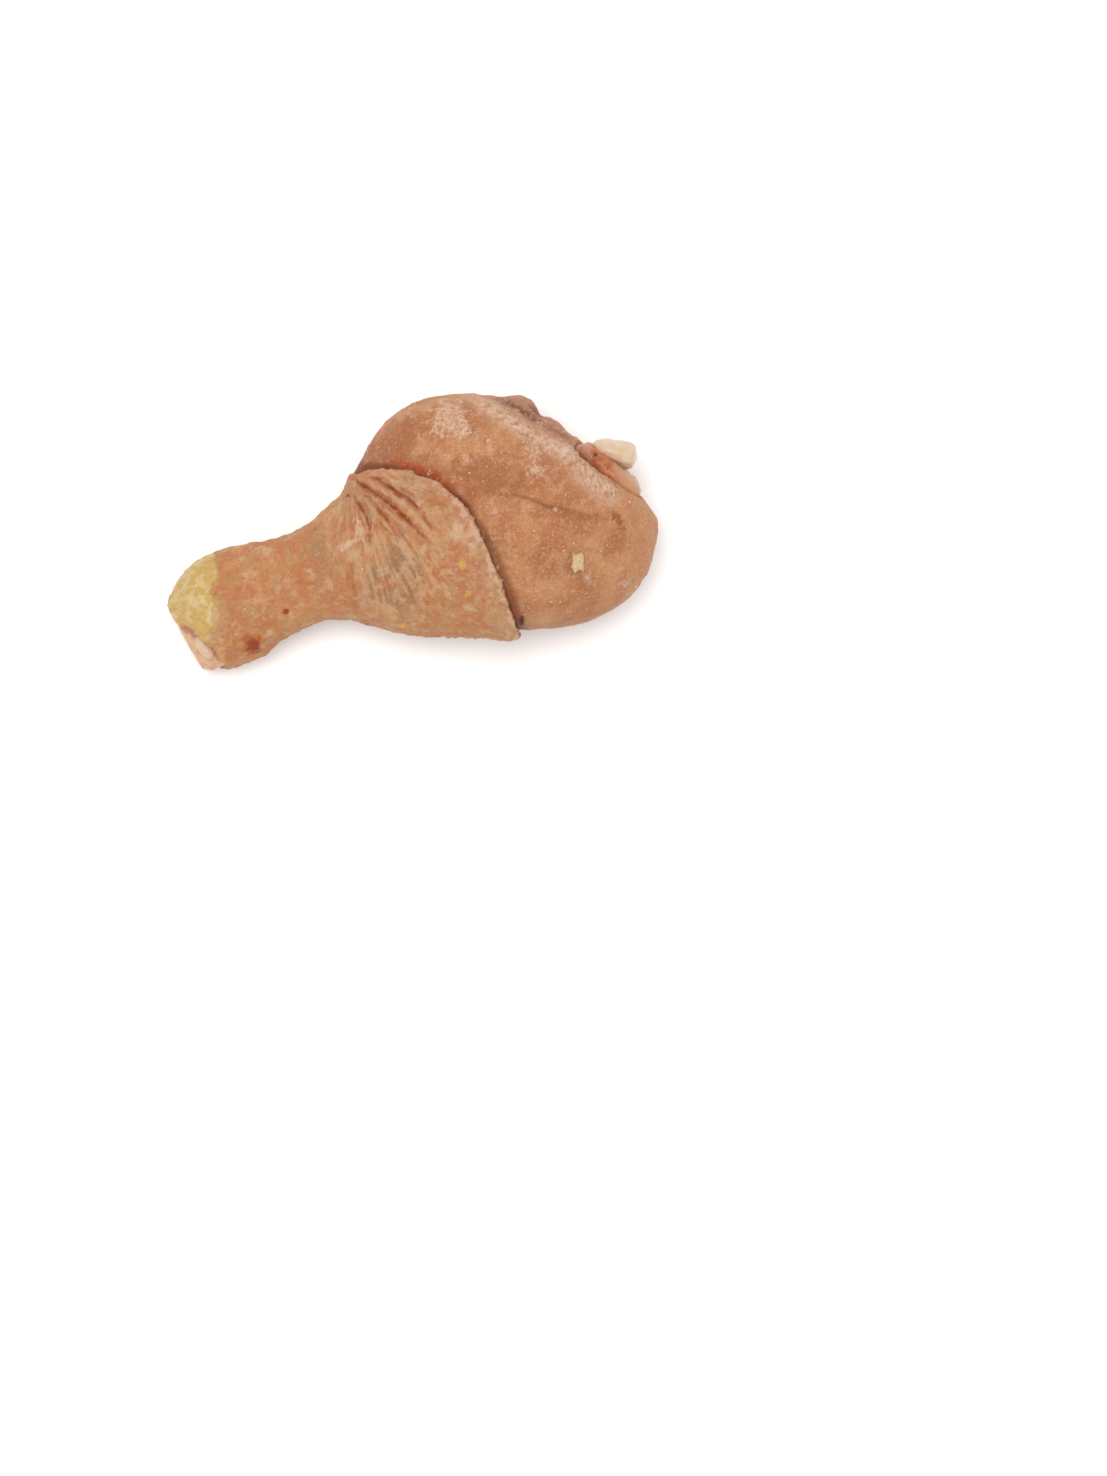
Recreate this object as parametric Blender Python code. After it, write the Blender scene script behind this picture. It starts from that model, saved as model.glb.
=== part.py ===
"""A raw chicken drumstick that lies on its side, with one named object for each of its real pieces.

Lengths are in metres and +Z is up. The leg lies along X, with the cut hock at -X and the thick
knee end at +X, and it rests on z = 0. Meat wraps the shin bone, and a sleeve of skin covers the
shank and part of the calf. Run it with Blender, or from Blender's text editor.
"""

import math

import bmesh
import bpy
import numpy as np
from mathutils import Matrix, Vector

# Driving dimensions
MM = 0.001
LENGTH = 130 * MM
UNIT = LENGTH / 130  # the tables and places below are in these units: millimetres at this length
SKIN_THICKNESS = 1.8 * MM
SCALE_THICKNESS = 0.7 * MM
GAP = 0.4 * MM  # between a piece and the one that it lies on
AROUND_TOP = 30  # points of a cross-section that the upper side shows
AROUND_UNDER = 12

# The flesh from hock to knee: station x, lower side y, upper side y, underside z, crown z
LEG = (
    (-62.9, -4.0, -4.0, 10.0, 10.0),
    (-61.4, -15.0, 0.6, 4.0, 15.6),
    (-58.0, -18.8, 3.9, 2.3, 18.0),
    (-52.0, -18.9, 6.4, 1.8, 19.2),
    (-45.0, -18.1, 7.4, 3.0, 19.6),
    (-37.0, -15.0, 7.0, 5.4, 20.2),
    (-28.0, -12.9, 7.2, 6.4, 22.6),
    (-20.0, -13.8, 9.8, 5.0, 26.2),
    (-12.0, -18.2, 17.0, 3.4, 31.0),
    (-4.0, -22.2, 25.2, 2.2, 35.6),
    (6.0, -25.2, 32.6, 1.7, 40.0),
    (16.0, -28.3, 34.5, 1.5, 43.0),
    (26.0, -31.2, 32.7, 0.8, 44.0),
    (36.0, -32.9, 28.4, -0.6, 42.8),
    (45.0, -32.2, 20.8, -0.8, 39.6),
    (53.0, -29.0, 9.8, 1.6, 34.6),
    (59.5, -23.2, 0.6, 6.4, 29.0),
    (63.6, -16.6, -5.8, 12.4, 23.6),
    (65.0, -11.2, -11.2, 18.0, 18.0),
)
LEG_STARTS = LEG[0][0] + 0.25
LEG_ENDS = LEG[-1][0] - 0.25
WIDEST_SHARE = 0.44  # of the height, where the leg is widest
UPPER_ROUNDNESS = 0.92  # exponents of the cross-section: 1 is an ellipse, less is fuller
UNDER_ROUNDNESS = 0.68
SIDE_ROUNDNESS = 0.94

# The skin's free edge: degrees round the leg from its upper side over the crown, and station x
SKIN_EDGE = (
    (0, -9.4),
    (30, -7.0),
    (47, -3.0),
    (59, 2.0),
    (70, 9.3),
    (88, 17.2),
    (108, 20.8),
    (135, 22.4),
    (180, 23.4),
    (215, 21.0),
    (250, 15.0),
    (285, 7.0),
    (320, -2.0),
)
HEM_ROLL = 0.7 * MM  # how far the free edge stands off the meat
HEM_WIDTH = 5.0 * MM

# Folds of the skin fan out from where its edge is pinched: start, bend and end in plan
FOLDS = (
    ((-6.4, 15.7), (2.0, 7.6), (8.6, -6.0)),
    ((-8.8, 15.0), (-1.6, 6.6), (3.6, -8.4)),
    ((-10.8, 14.4), (-6.4, 6.4), (-4.4, -6.0)),
)
FOLD_WIDTH = 2.8 * MM
FOLD_HEIGHT = 1.0 * MM

# The yellow scaly skin round the hock: the same two columns
SCALE_EDGE = (
    (0, -48.6),
    (45, -48.4),
    (80, -49.8),
    (105, -51.6),
    (130, -53.2),
    (150, -57.0),
    (180, -60.5),
    (240, -60.0),
    (300, -53.0),
    (335, -49.6),
)

# The oblique cut through the hock: a point of it, and the way it faces
HOCK_CUT_AT = Vector((-57.6, -13.0, 16.0)) * UNIT
HOCK_CUT_FACES = Vector((-0.73, -0.48, 0.49)).normalized()
HOCK_GRISTLE_SET_BACK = 0.4 * MM
BONE_SET_BACK = 0.1 * MM
MEAT_STARTS = -46.0

# The face of the knee stands across this direction, and the calf's edge lies at this distance
KNEE_FACES = Vector((0.73, 0.68, 0.0)).normalized()
CALF_EDGE_AT = 41.6
# Torn thigh meat stands beyond the calf's edge in two lobes: middle, reach and height
THIGH_LOBES = (
    ((40.0, 26.6, 22.0), 4.6, 1.9),
    ((45.6, 18.6, 24.0), 3.6, 1.6),
)
# A seam between two muscles of the calf: points of it in plan
SEAM_X = (27.9, 38.9, 55.8)
SEAM_Y = (3.6, -3.1, -10.6)

# The shin bone: centre x, y, z, and its half width and half height
BONE = (
    (-66.0, -17.4, 13.2, 3.0, 2.8),
    (-57.0, -13.0, 13.0, 3.1, 3.0),
    (-48.0, -8.2, 13.0, 3.6, 3.4),
    (-32.0, -4.2, 14.0, 3.8, 3.6),
    (-10.0, -0.6, 17.0, 4.0, 4.0),
    (15.0, 2.4, 18.6, 4.2, 4.4),
    (36.0, 5.4, 18.8, 5.2, 5.6),
    (45.0, 6.6, 19.0, 5.0, 6.2),
    (51.0, 8.8, 19.4, 2.8, 4.2),
)
# The white cartilage on its head: the same columns
KNEE_CAP = (
    (54.0, 10.5, 20.2, 2.0, 4.4),
    (56.0, 9.6, 20.6, 2.9, 5.4),
    (59.0, 8.2, 20.8, 3.5, 5.9),
    (62.6, 6.3, 20.4, 4.0, 5.6),
    (64.0, 5.8, 20.2, 3.3, 4.4),
)
# The pink ligament that ties the head to the calf: the same columns
KNEE_GRISTLE = (
    (49.4, 12.4, 22.4, 1.8, 3.0),
    (52.6, 8.6, 22.6, 3.2, 5.4),
    (56.4, 4.2, 21.6, 3.9, 6.6),
    (59.4, 0.6, 20.2, 3.1, 6.0),
    (61.8, -1.6, 18.8, 2.7, 4.8),
    (63.0, -3.0, 18.0, 1.8, 3.2),
)

# A chip of yellow fat on the calf: its middle in plan, its turn, and its size along, across and up
FAT_CHIP_AT = (42.3, -17.8)
FAT_CHIP_TURN = math.radians(20)
FAT_CHIP_SIZE = (3.2, 4.8, 2.4)
FAT_CHIP_PROUD = 0.5 * MM


def clear_scene():
    for obj in list(bpy.data.objects):
        bpy.data.objects.remove(obj)


def material(name, colour, roughness):
    made = bpy.data.materials.new(name)
    made.use_nodes = True
    shader = made.node_tree.nodes["Principled BSDF"]
    shader.inputs["Base Color"].default_value = (*colour, 1.0)
    shader.inputs["Roughness"].default_value = roughness
    shader.inputs["Metallic"].default_value = 0.0
    made.diffuse_color = (*colour, 1.0)
    return made


def smooth_step(value, low, high):
    s = np.clip((value - low) / (high - low), 0, 1)
    return s * s * (3 - 2 * s)


def bump(distance, width):
    """A rounded rise of height 1 at distance 0."""
    return np.exp(-((distance / width) ** 2))


def uneven(points, size, seed):
    """A gentle unevenness of about 1 either way, whose swells are about this size across."""
    draw = np.random.default_rng(seed)
    total = 0
    waves = 9
    for _ in range(waves):
        way = draw.normal(size=3)
        way *= draw.uniform(0.7, 1.4) * math.pi / (size * np.linalg.norm(way))
        total = total + np.sin(points @ way + draw.uniform(0, 2 * math.pi))
    return total / math.sqrt(waves)


def curve_between(start, end, leave, arrive, s):
    """The smooth curve from start to end with these slopes there, at share s of the way."""
    return (
        (2 * s**3 - 3 * s**2 + 1) * start
        + (s**3 - 2 * s**2 + s) * leave
        + (3 * s**2 - 2 * s**3) * end
        + (s**3 - s**2) * arrive
    )


def leg_section(t):
    """Every column of LEG at t, which counts its rows, on a smooth curve through them."""
    rows = np.array(LEG, float)
    # A row beyond each end mirrors its neighbour, so that a closed end comes out round.
    mirrored = [0, 2, 1, 4, 3]
    rows = np.vstack([rows[1][mirrored], rows, rows[-2][mirrored]])
    i = np.clip(np.floor(t).astype(int), 0, len(LEG) - 2)
    before, start, end, after = (rows[i + k] for k in range(4))
    return curve_between(start, end, (end - before) / 2, (after - start) / 2, (t - i)[..., None])


def row_of_station(x):
    """The t of leg_section at station x."""
    t = np.linspace(0, len(LEG) - 1, 2000)
    return np.interp(x, leg_section(t)[:, 0], t)


def edge_station(table, angle):
    """Station x of an edge round the leg at these angles, on a smooth closed curve."""
    rows = np.array(table, float)
    rows = np.vstack([rows[-2:] - (360, 0), rows, rows[:3] + (360, 0)])
    degrees = np.mod(np.degrees(angle), 360)
    i = np.clip(np.searchsorted(rows[:, 0], degrees, "right") - 1, 1, len(rows) - 3)
    slope = (rows[2:, 1] - rows[:-2, 1]) / (rows[2:, 0] - rows[:-2, 0])
    width = rows[i + 1, 0] - rows[i, 0]
    share = (degrees - rows[i, 0]) / width
    return curve_between(
        rows[i, 1], rows[i + 1, 1], width * slope[i - 1], width * slope[i], share
    )


def leg_surface(t, angle):
    """Points of the flesh, in the tables' units, before its relief."""
    x, low, high, under, crown = np.moveaxis(leg_section(t), -1, 0)
    c, s = np.cos(angle), np.sin(angle)
    middle = under + WIDEST_SHARE * (crown - under)
    reach = np.where(s > 0, crown - middle, middle - under)
    roundness = np.where(s > 0, UPPER_ROUNDNESS, UNDER_ROUNDNESS)
    y = (low + high) / 2 + (high - low) / 2 * np.sign(c) * np.abs(c) ** SIDE_ROUNDNESS
    z = middle + reach * np.sign(s) * np.abs(s) ** roundness
    return np.stack([x + 0 * y, y, z], axis=-1)


def leg_normal(t, angle):
    step_t, step_angle = 0.02, 0.03
    before = np.clip(t - step_t, 0, len(LEG) - 1)
    after = np.clip(t + step_t, 0, len(LEG) - 1)
    forward = leg_surface(after, angle) - leg_surface(before, angle)
    around = leg_surface(t, angle + step_angle) - leg_surface(t, angle - step_angle)
    normal = np.cross(around, forward)
    return normal / np.maximum(np.linalg.norm(normal, axis=-1, keepdims=True), 1e-9)


def flesh_relief(points):
    """How far the flesh stands out from leg_surface at these points, in the tables' units."""
    x, y, z = np.moveaxis(points, -1, 0)
    upper = smooth_step(z, 17, 25)
    # The membrane on the calf ends in a rim, with a step down beyond it.
    beyond = x * KNEE_FACES.x + y * KNEE_FACES.y - CALF_EDGE_AT
    on_edge = upper * smooth_step(x, 22, 32) * (1 - smooth_step(x, 57, 63))
    relief = on_edge * (0.8 * bump(beyond + 0.8, 2.0) - 2.4 * bump(beyond - 2.6, 1.8))
    for middle, reach, height in THIGH_LOBES:
        away = np.linalg.norm(points - np.array(middle), axis=-1)
        relief = relief + height * bump(away, reach)
    # The muscle on the near side of the seam swells beside it.
    seam = y - np.interp(x, SEAM_X, SEAM_Y)
    on_seam = upper * smooth_step(x, 22, 30) * (1 - smooth_step(x, 54, 60))
    relief = relief + on_seam * (0.5 * bump(seam + 5, 3.5) - 0.7 * bump(seam, 1.8))
    return relief + 0.35 * uneven(points, 11.0, 3) * smooth_step(z, 4, 9)


def flesh(t, angle, lift):
    """Points this far outside the flesh, in metres."""
    base, normal = leg_surface(t, angle), leg_normal(t, angle)
    outward = flesh_relief(base) * UNIT + lift
    return base * UNIT + outward[..., None] * normal


def on_crown(x, y, lift):
    """The point of the upper side at x, y in plan, this far outside the flesh, and its normal."""
    t = row_of_station(x)
    _, low, high, _, _ = np.moveaxis(leg_section(t), -1, 0)
    share = np.clip((2 * y - low - high) / (high - low), -1, 1)
    angle = np.arccos(np.sign(share) * np.abs(share) ** (1 / SIDE_ROUNDNESS))
    return flesh(t, angle, lift), leg_normal(t, angle)


def angles_round():
    top = np.linspace(-8, 188, AROUND_TOP, endpoint=False)
    under = np.linspace(188, 352, AROUND_UNDER, endpoint=False)
    return np.radians(np.concatenate([top, under]))


def leg_rings(first_x, last_x, count, lift):
    """Rings of points over the leg from station to station, where either may vary round it."""
    angle = angles_round()
    start = row_of_station(first_x) + 0 * angle
    end = row_of_station(last_x) + 0 * angle
    rings = []
    for share in np.linspace(0, 1, count):
        t = start + (end - start) * share
        rings.append(flesh(t, angle, lift(t, angle) if callable(lift) else lift))
    return rings


def laid_flat(rings, floor=0.0):
    """The rings, with what is lower than the floor brought up to it."""
    return [np.maximum(ring, (-1.0, -1.0, floor)) for ring in rings]


def leg_tip(t, lift):
    """The point of the closed end at t, this far outside the flesh."""
    way = -1.0 if t == 0 else 1.0
    x, y, _, z, _ = leg_section(np.array(float(t)))
    return Vector((x * UNIT + way * lift, y * UNIT, z * UNIT))


def add_object(name, made):
    mesh = bpy.data.meshes.new(name)
    bmesh.ops.recalc_face_normals(made, faces=made.faces)
    made.to_mesh(mesh)
    made.free()
    mesh.shade_smooth()
    obj = bpy.data.objects.new(name, mesh)
    bpy.context.scene.collection.objects.link(obj)
    return obj


def solid_from_rings(name, rings, first=None, last=None):
    """A closed surface over rings of points, with a fan to the first and last points."""
    made = bmesh.new()
    loops = [[made.verts.new(p) for p in ring] for ring in rings]
    for near, far in zip(loops, loops[1:]):
        for i in range(len(near)):
            k = (i + 1) % len(near)
            made.faces.new((near[i], near[k], far[k], far[i]))
    for loop, centre in ((loops[0], first), (loops[-1], last)):
        if centre is None:
            centre = sum((v.co for v in loop), Vector()) / len(loop)
        hub = made.verts.new(centre)
        for i in range(len(loop)):
            made.faces.new((loop[i], loop[(i + 1) % len(loop)], hub))
    return add_object(name, made)


def sweep(name, table, sides=12, grow=0.0):
    """A round solid along the table's centres, with oval rings square to its path."""
    t = np.linspace(0, len(table) - 1, 2 * len(table))
    columns = np.array(table, float) * UNIT
    rows = np.stack(
        [np.interp(t, np.arange(len(table)), columns[:, k]) for k in range(5)], axis=1
    )
    rows[1:-1] = (rows[:-2] + 2 * rows[1:-1] + rows[2:]) / 4
    ways = [Vector(way).normalized() for way in np.gradient(rows[:, :3], axis=0)]
    rings = []
    for row, ahead in zip(rows, ways):
        across = ahead.cross(Vector((0, 0, 1))).normalized()
        up = across.cross(ahead)
        ring = []
        for angle in np.linspace(0, 2 * math.pi, sides, endpoint=False):
            sideways = across * (row[3] + grow) * math.cos(angle)
            ring.append(Vector(row[:3]) + sideways + up * (row[4] + grow) * math.sin(angle))
        rings.append(ring)
    bulge = 0.45  # how far an end bulges, as a share of its half width
    first = Vector(rows[0, :3]) - ways[0] * (bulge * rows[0, 3] + grow)
    last = Vector(rows[-1, :3]) + ways[-1] * (bulge * rows[-1, 3] + grow)
    return solid_from_rings(name, rings, first, last)


def combine(obj, other, operation):
    """Cuts other from obj, or joins it on, and removes other."""
    boolean = obj.modifiers.new(operation.title(), "BOOLEAN")
    boolean.operation = operation
    boolean.solver = "EXACT"
    boolean.object = other
    graph = bpy.context.evaluated_depsgraph_get()
    mesh = bpy.data.meshes.new_from_object(obj.evaluated_get(graph))
    obj.modifiers.clear()
    obj.data = mesh
    bpy.data.objects.remove(other)


def hock_cutter(set_back):
    """A block beyond the hock's cut, moved this far into the leg."""
    side = 60 * MM
    made = bmesh.new()
    bmesh.ops.create_cube(made, size=side)
    bmesh.ops.translate(made, verts=made.verts, vec=(0, 0, side / 2))
    turn = HOCK_CUT_FACES.to_track_quat("Z", "Y").to_matrix().to_4x4()
    place = Matrix.Translation(HOCK_CUT_AT - HOCK_CUT_FACES * set_back)
    bmesh.ops.transform(made, verts=made.verts, matrix=place @ turn)
    return add_object("hock_cutter", made)


def make_fat_chip():
    """A crooked chip of fat, half sunk in the crown of the calf."""
    at, normal = on_crown(*(np.array(v) for v in FAT_CHIP_AT), FAT_CHIP_PROUD)
    normal = Vector(normal)
    made = bmesh.new()
    bmesh.ops.create_cube(made, size=UNIT)
    sides = Matrix.Diagonal((*FAT_CHIP_SIZE, 1.0))
    turn = normal.to_track_quat("Z", "Y").to_matrix().to_4x4()
    turn = turn @ Matrix.Rotation(FAT_CHIP_TURN, 4, "Z")
    place = Matrix.Translation(Vector(at) - normal * (FAT_CHIP_SIZE[2] / 2 * UNIT))
    bmesh.ops.transform(made, verts=made.verts, matrix=place @ turn @ sides)
    return add_object("fat_chip", made)


def make_meat():
    """The calf: few rings inside the skin, and many where it is bare."""
    bare_from = -12.0
    hidden = leg_rings(MEAT_STARTS, bare_from, 7, 0.0)
    bare = leg_rings(bare_from, LEG_ENDS, 29, 0.0)
    rings = laid_flat(hidden + bare[1:])
    meat = solid_from_rings("meat", rings, last=leg_tip(len(LEG) - 1, 0.0))
    combine(meat, sweep("bone_channel", BONE, grow=GAP), "DIFFERENCE")
    combine(meat, sweep("cap_space", KNEE_CAP, grow=GAP), "DIFFERENCE")
    combine(meat, sweep("gristle_space", KNEE_GRISTLE, grow=GAP), "DIFFERENCE")
    combine(meat, make_fat_chip(), "UNION")
    return meat


def skin_lift(t, angle):
    """How far the skin's outer face is from the flesh: a little more along its free edge."""
    to_edge = (edge_station(SKIN_EDGE, angle) - leg_section(t)[..., 0]) * UNIT
    hem = bump(to_edge, HEM_WIDTH) * smooth_step(np.sin(angle), -0.2, 0.3)
    return GAP + SKIN_THICKNESS + hem * HEM_ROLL


def make_fold(start, bend, end):
    """A rounded fold along the skin, which sinks into it at both ends."""
    s = np.linspace(0, 1, 9)
    x, y = (
        (1 - s) ** 2 * start[k] + 2 * s * (1 - s) * bend[k] + s**2 * end[k] for k in range(2)
    )
    swell = 0.3 + 0.7 * np.sin(math.pi * s)
    sunk = 0.35 * FOLD_HEIGHT
    at, _ = on_crown(x, y, GAP + SKIN_THICKNESS - sunk)
    sizes = FOLD_WIDTH / 2 * swell, (FOLD_HEIGHT + sunk) * swell
    return sweep("fold", np.column_stack([at, *sizes]) / UNIT, sides=8)


def make_skin():
    """A sleeve from the cut hock to the free edge on the calf, folded back on itself as a shell."""
    angle = angles_round()
    edge = edge_station(SKIN_EDGE, angle)
    step = edge_station(SCALE_EDGE, angle) + GAP / UNIT
    let_in = SKIN_THICKNESS - SCALE_THICKNESS
    under_scales = laid_flat(leg_rings(LEG_STARTS, step, 7, let_in), SCALE_THICKNESS + GAP)
    outer = laid_flat(leg_rings(step + 0.02, edge, 20, skin_lift))
    lip = leg_rings(LEG_STARTS, edge + 0.8, 2, GAP + SKIN_THICKNESS / 2)[-1:]
    inner = leg_rings(LEG_STARTS, edge, 15, GAP)
    rings = under_scales + outer + laid_flat(lip) + inner[::-1]
    skin = solid_from_rings("skin", rings, leg_tip(0, let_in), leg_tip(0, GAP))
    combine(skin, hock_cutter(0.0), "DIFFERENCE")
    for fold in FOLDS:
        combine(skin, make_fold(*fold), "UNION")
    return skin


def make_scale_skin():
    """The yellow scaly skin, a thin cap over the hock that is let into the skin below it."""
    edge = edge_station(SCALE_EDGE, angles_round())
    top = GAP + SKIN_THICKNESS
    below = top - SCALE_THICKNESS
    outer = laid_flat(leg_rings(LEG_STARTS, edge, 7, top))
    inner = laid_flat(leg_rings(LEG_STARTS, edge, 7, below), SCALE_THICKNESS)
    rings = outer + inner[::-1]
    scales = solid_from_rings("hock_scale_skin", rings, leg_tip(0, top), leg_tip(0, below))
    combine(scales, hock_cutter(0.0), "DIFFERENCE")
    return scales


def make_hock_gristle():
    """Pale tissue that fills the sleeve's end, and shows in the cut round the bone."""
    rings = leg_rings(LEG_STARTS, MEAT_STARTS - GAP / UNIT, 8, 0.0)
    gristle = solid_from_rings("hock_gristle", rings, leg_tip(0, 0.0))
    combine(gristle, sweep("bone_channel", BONE, grow=GAP), "DIFFERENCE")
    combine(gristle, hock_cutter(HOCK_GRISTLE_SET_BACK), "DIFFERENCE")
    return gristle


def make_bone():
    bone = sweep("bone", BONE)
    combine(bone, hock_cutter(BONE_SET_BACK), "DIFFERENCE")
    combine(bone, sweep("cap_space", KNEE_CAP, grow=GAP), "DIFFERENCE")
    return bone


def make_knee_cap():
    return sweep("knee_cartilage", KNEE_CAP)


def make_knee_gristle():
    gristle = sweep("knee_gristle", KNEE_GRISTLE)
    combine(gristle, sweep("bone_space", BONE, grow=GAP), "DIFFERENCE")
    combine(gristle, sweep("cap_space", KNEE_CAP, grow=GAP), "DIFFERENCE")
    return gristle


def centre_on_origin(pieces):
    """Places the pieces so that the middle of their shared box, in plan, is at the origin."""
    corners = np.array([corner for obj in pieces for corner in obj.bound_box])
    middle = (corners.min(axis=0) + corners.max(axis=0)) / 2
    for obj in pieces:
        obj.location = (-middle[0], -middle[1], 0.0)


def main():
    clear_scene()
    finishes = (
        (make_meat, (0.53, 0.26, 0.13), 0.5),
        (make_skin, (0.52, 0.27, 0.14), 0.55),
        (make_scale_skin, (0.66, 0.45, 0.18), 0.5),
        (make_hock_gristle, (0.72, 0.49, 0.32), 0.4),
        (make_bone, (0.75, 0.58, 0.44), 0.4),
        (make_knee_cap, (0.75, 0.57, 0.41), 0.3),
        (make_knee_gristle, (0.53, 0.23, 0.12), 0.35),
    )
    pieces = []
    for make, colour, roughness in finishes:
        obj = make()
        obj.data.name = obj.name
        obj.data.set_sharp_from_angle(angle=math.radians(50))
        obj.data.materials.clear()
        obj.data.materials.append(material(obj.name, colour, roughness))
        pieces.append(obj)
    centre_on_origin(pieces)


main()
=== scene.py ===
# %% [markdown]
# # A raw chicken drumstick, still frozen
#
# The solids of the leg come from the frame and are never changed. Each visible piece is a dense
# copy of one of them, with the folds, pimples, tears and frost of the real leg modelled into it.
# The finishes are mixed from noise in millimetres, and from marks kept on the points.

# %% Load the frame
import itertools
import math

import bmesh
import bpy
import numpy as np
from mathutils import Matrix, Vector


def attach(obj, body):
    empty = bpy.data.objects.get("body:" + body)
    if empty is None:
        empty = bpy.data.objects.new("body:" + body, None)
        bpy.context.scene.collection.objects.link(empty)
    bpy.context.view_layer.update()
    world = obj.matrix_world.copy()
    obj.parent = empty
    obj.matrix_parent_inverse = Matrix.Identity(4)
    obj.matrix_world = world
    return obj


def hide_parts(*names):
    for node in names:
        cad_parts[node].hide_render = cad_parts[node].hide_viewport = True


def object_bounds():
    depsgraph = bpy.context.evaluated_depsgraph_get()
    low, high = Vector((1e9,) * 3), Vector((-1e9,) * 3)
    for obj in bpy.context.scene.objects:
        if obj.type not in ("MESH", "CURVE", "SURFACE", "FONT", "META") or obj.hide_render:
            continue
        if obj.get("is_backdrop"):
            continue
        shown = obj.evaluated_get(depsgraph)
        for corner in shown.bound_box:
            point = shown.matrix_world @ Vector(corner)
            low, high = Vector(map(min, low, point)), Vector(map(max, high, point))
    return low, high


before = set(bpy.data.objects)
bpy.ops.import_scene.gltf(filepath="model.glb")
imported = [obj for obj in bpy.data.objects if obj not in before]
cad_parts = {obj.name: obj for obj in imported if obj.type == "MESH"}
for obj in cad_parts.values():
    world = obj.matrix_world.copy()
    obj.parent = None
    obj.data.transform(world)
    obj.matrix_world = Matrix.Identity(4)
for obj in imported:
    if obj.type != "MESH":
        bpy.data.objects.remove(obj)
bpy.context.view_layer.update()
print("solids:", {name: len(obj.data.polygons) for name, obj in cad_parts.items()})

# %% [markdown]
# ## Places in millimetres
#
# Every crease and stain is placed on a drawing of the leg seen from above, in millimetres. The
# drawing's origin lies a little off the frame's, so points are shifted on their way in and out.

# %% Points in and out of the drawing
MM = 0.001
DRAWING = np.array((0.15, 0.78, 0.0))  # from the frame's origin to the drawing's


def places(mesh):
    """The mesh's points in the drawing's millimetres, one row each."""
    flat = np.empty(len(mesh.vertices) * 3, np.float32)
    mesh.vertices.foreach_get("co", flat)
    return flat.reshape(-1, 3).astype(float) / MM + DRAWING


def put(mesh, points):
    mesh.vertices.foreach_set("co", ((points - DRAWING) * MM).astype(np.float32).ravel())
    mesh.update()


def outward(mesh):
    """The mesh's normals, one row for each point."""
    flat = np.empty(len(mesh.vertices) * 3, np.float32)
    mesh.vertices.foreach_get("normal", flat)
    return flat.reshape(-1, 3).astype(float)


def raise_by(mesh, height):
    """Moves each point out along its normal by this many millimetres."""
    put(mesh, places(mesh) + outward(mesh) * np.asarray(height)[:, None])


def mark(mesh, name, values):
    """Keeps a number from 0 to 1 on each point, for the finish to read."""
    layer = mesh.attributes.new(name, "FLOAT", "POINT")
    layer.data.foreach_set("value", np.clip(values, 0, 1).astype(np.float32))


# %% [markdown]
# ## Noise
#
# Living surfaces are uneven at every size. Two kinds of noise are enough: soft swells, and cells,
# which are scattered dots with a distance to the nearest one. They are worked out for all the
# points of a mesh at once, and a seed makes them come out the same each time.

# %% Swells and cells
def step_up(value, low, high):
    """0 below low and 1 above high, with a smooth rise between them."""
    s = np.clip((value - low) / (high - low), 0, 1)
    return s * s * (3 - 2 * s)


def hump(distance, width):
    """A rounded rise of height 1 at distance 0."""
    return np.exp(-((distance / width) ** 2))


def picked(cell, table):
    """A number from 0 to 255 for each cell of a grid, in a mixed-up order."""
    x, y, z = (cell % 256).T
    return table[(table[(table[x] + y) % 256] + z) % 256]


def swell(points, size, seed, octaves=1):
    """Soft noise from about -1 to 1, whose swells are this many millimetres across."""
    draw = np.random.default_rng(seed)
    total = np.zeros(len(points))
    for octave in range(octaves):
        table = draw.permutation(256)
        ways = draw.normal(size=(256, 3))
        ways /= np.linalg.norm(ways, axis=1, keepdims=True)
        grid = points * (2**octave / size) + draw.uniform(0, 90, 3)
        cell = np.floor(grid).astype(int)
        inside = grid - cell
        fade = inside**3 * (inside * (inside * 6 - 15) + 10)
        for corner in itertools.product((0, 1), repeat=3):
            weight = np.prod(np.where(corner, fade, 1 - fade), axis=1)
            lean = np.einsum("ij,ij->i", ways[picked(cell + corner, table)], inside - corner)
            total += 1.7 / 2**octave * weight * lean
    return total


def swells(points, *rows):
    """Several soft noises together: each row is a weight, a size and a seed."""
    return sum(weight * swell(points, size, seed) for weight, size, seed in rows)


def cells(points, size, seed):
    """Distance to the nearest and to the second dot in millimetres, and the nearest's own number."""
    draw = np.random.default_rng(seed)
    table = draw.permutation(256)
    jitter = draw.uniform(0.1, 0.9, (256, 3))
    grid = points / size
    cell = np.floor(grid).astype(int)
    first = np.full(len(points), 9.0)
    second = np.full(len(points), 9.0)
    number = np.zeros(len(points))
    for step in itertools.product((-1, 0, 1), repeat=3):
        pick = picked(cell + step, table)
        away = np.linalg.norm(cell + step + jitter[pick] - grid, axis=1)
        nearer = away < first
        second = np.where(nearer, first, np.minimum(second, away))
        number = np.where(nearer, pick / 255, number)
        first = np.where(nearer, away, first)
    return first * size, second * size, number


# %% [markdown]
# ## Strokes and spots
#
# Folds, creases and stains are drawn one by one, as strokes and spots over the plan. The points
# are pushed about by a little noise before they are measured, so no edge comes out drawn by rule.

# %% Strokes and spots over the plan
def mound(points, x, y, reach):
    """A rounded rise of height 1 round a place in plan."""
    return hump(np.hypot(points[:, 0] - x, points[:, 1] - y), reach)


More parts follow.
